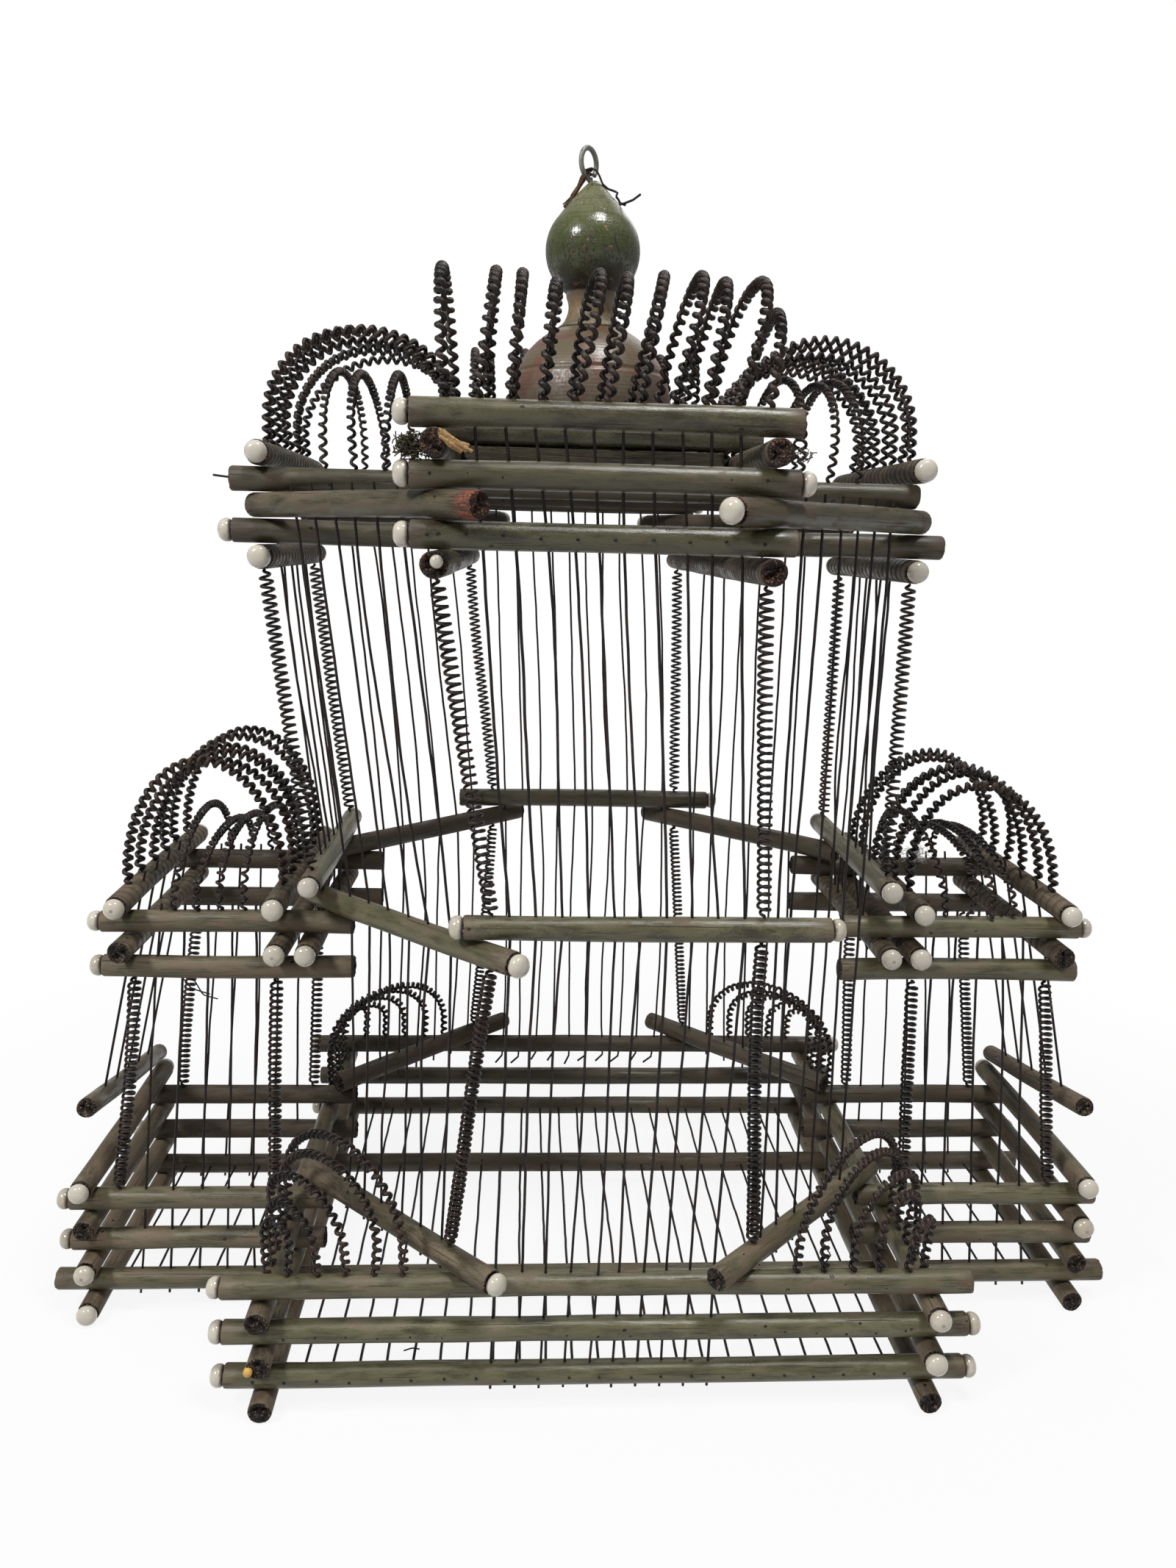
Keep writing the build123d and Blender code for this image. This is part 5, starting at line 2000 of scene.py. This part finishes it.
@dataclass
class SmallThings:
    """Binding wire, nails, pins and the scraps that cling to the cage."""

    shop: Shop
    binding: Line = (
        (-12.0, -2.2, 502.6), (-11.6, -2.8, 504.9), (-9.6, -2.6, 505.6), (-7.5, -2.6, 505.0),
        (-6.0, -2.8, 502.6), (-4.6, -2.6, 499.6), (-2.2, -2.4, 497.8), (0.2, -2.2, 497.2), (2.0, -2.0, 496.6),
        (1.2, -1.6, 495.2), (2.4, -2.0, 494.0), (2.9, -1.8, 492.8), (5.6, -1.6, 491.9),
    )
    tail: Line = ((2.4, -1.6, 491.9), (4.9, -2.2, 492.5), (8.6, -2.6, 493.9), (11.8, -3.0, 496.2))
    cord: Line = (
        (-10.8, -1.8, 504.6), (-12.4, -1.8, 502.2), (-14.4, -2.0, 498.6), (-17.4, -2.2, 494.4),
        (-20.6, -2.4, 490.6),
    )
    cord_spread: tuple[float, ...] = (0.9, 1.3, 0.7, 0.9, 1.9)
    cord_strands: int = 26
    pin_rows: tuple[tuple[float, float, float, float], ...] = (
        (-140.0, 140.0, -122.0, 15.0), (-128.0, 140.0, -122.0, 35.0), (-68.0, 52.0, -137.0, 351.5),
        (-68.0, 52.0, -137.0, 371.5),
    )
    pin_step: float = 12.7
    pin_radius: float = 0.62
    nail: Line = ((-149.0, -58.0, 371.6), (-158.6, -58.0, 372.6))
    strays: tuple[Line, ...] = (
        ((-81.6, -104.0, 15.6), (-78.0, -105.0, 17.6), (-74.9, -106.0, 17.8)),
        ((-183.0, -46.5, 160.0), (-178.0, -45.0, 156.5), (-174.5, -46.0, 150.5), (-168.0, -47.0, 149.0)),
        ((-186.0, -46.5, 163.0), (-180.0, -44.5, 153.0), (-172.0, -44.0, 150.0)),
        ((92.0, -113.0, 60.0), (94.0, -115.0, 66.0), (91.0, -117.0, 71.0)),
    )
    dowel: Outline = ((1.75, -1.5), (1.8, 0.6), (1.6, 1.1), (1.0, 1.5), (0.3, 1.6))
    dowel_place: Spot = (-140.8, -127.0, 24.2)
    dot: Outline = ((1.6, -1.2), (2.3, 0.3), (2.35, 1.0), (1.9, 1.9), (1.1, 2.4), (0.3, 2.5))
    dot_place: Spot = (-65.0, -138.6, 342.6)

    def build(self) -> None:
        """Makes them all."""
        self._binding()
        self._pins()
        self._nails()
        self._turned()
        self._splinter()
        nest = PlainTint("old_nest_stuff", (0.016, 0.013, 0.007), (0.085, 0.072, 0.038), 0.9).make()
        self._tuft("nest_tuft", (-74.0, -133.0, 380.5), (6.0, 4.0, 4.5), 260, 0.42, nest, 189)
        self._tuft("nest_tuft_right", (60.0, -131.0, 381.0), (4.0, 3.0, 2.5), 40, 0.35, nest, 190)
        web = PlainTint("cobweb_dust", (0.42, 0.41, 0.38), (0.60, 0.59, 0.56), 0.9).make()
        self._tuft("cobweb", (171.0, 43.5, 194.5), (8.5, 3.5, 5.5), 90, 0.22, web, 191)

    def _binding(self) -> None:
        """Thin wire and frayed cord tied round the foot of the eye."""
        dice = random.Random(180)
        turns = [
            (-11.2 + 2.0 * math.cos(a), 2.0 * math.sin(a), 502.4 + 0.25 * a + dice.uniform(-0.2, 0.2))
            for a in np.linspace(0.0, 4.4 * math.pi, 40)
        ]
        paths = [np.array(turns), np.array(self.binding), np.array(self.tail)]
        self.shop.trim("binding_wire", paths, Wire(1.0, step=0.9, unevenness=0.3), self.shop.wire_iron, 181)
        strands = []
        for _ in range(self.cord_strands):
            off = np.array([dice.gauss(0, 0.42) for _ in range(3)])
            strand = np.array(self.cord) + off * np.array(self.cord_spread)[:, None]
            strands.append(strand[: dice.choice((4, 5, 5))])
        hemp = PlainTint("frayed_hemp", (0.030, 0.018, 0.010), (0.150, 0.085, 0.040), 0.85).make()
        self.shop.trim("frayed_cord", strands, Wire(0.42, step=1.2, unevenness=0.5, sides=5), hemp, 182)

    def _pins(self) -> None:
        """Rows of pin heads along the sticks that the bars go through."""
        dice = random.Random(183)
        spots = []
        for start, end, y, z in self.pin_rows:
            for k in range(int((end - start) / self.pin_step) + 1):
                x = start + k * self.pin_step + dice.uniform(-0.6, 0.6)
                spots.append((x, y + 0.12, z + dice.uniform(-0.7, 0.7)))
        mesh = self.shop.pin_mesh("pin_heads", spots, self.pin_radius, self.shop.wire_iron)
        self.shop.add_on("pin_heads", mesh, [])

    def _nails(self) -> None:
        """A nail in the end of a crown stick, and loose wire ends."""
        iron = self.shop.wire_iron
        self.shop.trim("crown_nail", [np.array(self.nail)], Wire(1.0, step=2.0, unevenness=0.0), iron, 184)
        strays = [np.array(line) for line in self.strays]
        self.shop.trim("loose_wire_ends", strays, Wire(0.6, step=1.5), iron, 185)

    def _turned(self) -> None:
        """The yellow tip of a dowel and a small bead, which both look to the front."""
        front = -np.array([0.0, 1.0, 0.0])
        ochre = PlainTint("yellow_dowel", (0.52, 0.28, 0.05), (0.68, 0.42, 0.11), 0.5).make()
        mesh = LatheMaker(16).mesh("dowel_tip", self.dowel, np.array(self.dowel_place), front)
        self.shop.add_on("dowel_tip", mesh, [ochre], Slot.STICKS)
        mesh = LatheMaker(18).mesh("small_bead", self.dot, np.array(self.dot_place), front, tone=0.3)
        self.shop.add_on("small_bead", mesh, [self.shop.porcelain], Slot.BEADS)

    def _splinter(self) -> None:
        """Torn fibres at the end of a crown stick."""
        straw = PlainTint("torn_yellow_wood", (0.20, 0.11, 0.04), (0.42, 0.26, 0.10), 0.7).make()
        dice = random.Random(187)
        chips = []
        for k in range(9):
            start = np.array([-63.5 + dice.uniform(-1, 1), -139.3 - 0.1 * k, 384.5 + dice.uniform(-1.5, 1.5)])
            end = np.array([-54.5 + dice.uniform(-3, 1.5), -139.2 - 0.15 * k, 378.4 + dice.uniform(-1, 2.2)])
            middle = (start + end) / 2 + np.array([0.0, -0.7, dice.uniform(-1.6, 0.2)])
            chips.append(np.array([start, middle, end]))
        wire = Wire(1.25, step=1.0, unevenness=0.6, sides=5)
        self.shop.trim("torn_splinter", chips, wire, straw, 188, Slot.STICKS)

    def _tuft(
        self, name: str, middle: Spot, size: Spot, count: int, thickness: float, finish: Material, seed: int
    ) -> None:
        """A tuft of short bent hairs inside an egg.

        Args:
            name: Name of the piece.
            middle: Middle of the egg.
            size: Half its size along X, Y and Z.
            count: Number of hairs.
            thickness: Thickness of a hair.
            finish: Its material.
            seed: Seed of the hairs.
        """
        dice = random.Random(seed)
        hairs = []
        for _ in range(count):
            spot = np.array([dice.gauss(0, 0.42) for _ in range(3)])
            way, curl = (unit(np.array([dice.gauss(0, 1) for _ in range(3)])) for _ in range(2))
            reach = dice.uniform(0.35, 0.9)
            hair = []
            for t in (-0.5, -0.2, 0.1, 0.5):
                hair.append(spot + way * (t * reach) + curl * (0.35 * reach * math.sin(3 * t)))
            hairs.append(np.array(middle) + np.clip(np.array(hair), -1.0, 1.0) * np.array(size))
        self.shop.trim(name, hairs, Wire(thickness, step=1.2, unevenness=0.5, sides=4), finish, seed)


# Studio


def rays(graph: Graph, *kinds: str) -> Value:
    """One for rays of these kinds, and zero for all others."""
    shares = [graph.node("ShaderNodeLightPath", output=f"Is {kind} Ray") for kind in kinds]
    return functools.reduce(Value.most, shares)


@dataclass
class Studio:
    """Floor, light and the camera at the photograph's angle; lengths are metres here."""

    floor_half: float = 6.0
    shade_range: tuple[float, float] = (0.28, 0.62)
    aim: Spot = (0.0, 0.0, 0.28)
    camera_place: Spot = (-0.03482, -0.54546, 0.35036)
    camera_turn: float = -0.0559
    camera_tilt: float = 0.2021
    camera_roll: float = 0.0252
    sensor: float = 36.0
    focal_px: float = 1606.87
    long_side_px: float = 2133.0

    def build(self) -> None:
        """Makes the studio."""
        self._floor()
        self._world()
        self._lamp("key", (-1.05, -0.85, 1.45), 0.30, 23.0)
        self._lamp("top", (0.30, -0.45, 1.9), 0.36, 21.0)
        self._lamp("back", (0.3, 1.3, 1.5), 1.2, 6.0)
        self._camera()

    def _floor(self) -> None:
        """A pale floor that keeps a soft shadow."""
        half = self.floor_half
        mesh = bpy.data.meshes.new("floor")
        corners = [(-half, -half, 0), (half, -half, 0), (half, half, 0), (-half, half, 0)]
        mesh.from_pydata(corners, [], [(0, 1, 2, 3)])
        floor = bpy.data.objects.new("floor", mesh)
        bpy.context.scene.collection.objects.link(floor)
        surface = Surface("studio_floor")
        surface.tree.nodes.remove(surface.shader)
        matte = surface.node("ShaderNodeBsdfDiffuse", inputs={"Color": (0.6, 0.6, 0.6)})
        glow = surface.node("ShaderNodeEmission", inputs={"Color": (1.0, 1.0, 1.0), "Strength": 1.0})
        place = surface.node("ShaderNodeTexCoord", output="Object")
        far = surface.node("ShaderNodeVectorMath", {"operation": "LENGTH"}, {0: place}, "Value")
        bright = 0.90 + far.fade(*self.shade_range) * 0.10
        share = rays(surface, "Camera", "Glossy", "Transmission") * bright
        both = surface.node("ShaderNodeMixShader", inputs={0: share, 1: matte, 2: glow})
        surface.feed(surface.tree.nodes["Material Output"].inputs["Surface"], both)
        mesh.materials.append(surface.material)

    @staticmethod
    def _world() -> None:
        """Soft light from all around, and white behind the cage."""
        world = bpy.data.worlds.new("studio")
        bpy.context.scene.world = world
        world.use_nodes = True
        graph = Graph(world.node_tree)
        background = world.node_tree.nodes["Background"]
        graph.feed(background.inputs["Color"], (1.0, 1.0, 1.0))
        strength = rays(graph, "Camera", "Transmission") * 0.70 + rays(graph, "Glossy") * 0.08 + 0.30
        graph.feed(background.inputs["Strength"], strength)

    def _lamp(self, name: str, place: Spot, size: float, power: float) -> None:
        """An area lamp that faces the middle of the cage.

        Args:
            name: Name of the lamp.
            place: Where it hangs.
            size: Length of its sides.
            power: Its power in watts.
        """
        lamp = bpy.data.lights.new(name, "AREA")
        lamp.size = size
        lamp.energy = power
        holder = bpy.data.objects.new(name, lamp)
        bpy.context.scene.collection.objects.link(holder)
        holder.location = place
        holder.rotation_euler = (Vector(self.aim) - Vector(place)).to_track_quat("-Z", "Y").to_euler()

    def _camera(self) -> None:
        """The camera that was solved from the photograph."""
        camera = bpy.data.cameras.new("camera")
        camera.sensor_fit = "AUTO"
        camera.sensor_width = self.sensor
        camera.lens = self.sensor * self.focal_px / self.long_side_px
        camera.clip_start = 0.01
        camera.clip_end = 50.0
        holder = bpy.data.objects.new("camera", camera)
        bpy.context.scene.collection.objects.link(holder)
        holder.matrix_world = (
            Matrix.Translation(self.camera_place)
            @ Matrix.Rotation(self.camera_turn, 4, "Z")
            @ Matrix.Rotation(math.pi / 2 - self.camera_tilt, 4, "X")
            @ Matrix.Rotation(self.camera_roll, 4, "Z")
        )
        bpy.context.scene.camera = holder


def main() -> None:
    """Builds the looks of the cage, one sub-assembly after the other."""
    logging.basicConfig(level=logging.INFO, format="%(name)s: %(message)s")
    bpy.context.scene.view_settings.view_transform = "Standard"
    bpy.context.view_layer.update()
    Studio().build()
    shop = Shop()
    Base(shop).build()
    Ring(shop).build()
    Tower(shop).build()
    for side, roof_rise in ((Side.LEFT, 1.46), (Side.RIGHT, 1.42)):
        Bay(shop, side, roof_rise).build()
        Door(shop, side).build()
    Crown(shop).build()
    Finial(shop).build()
    Beads(shop).build()
    SmallThings(shop).build()


if __name__ == "__main__":
    main()
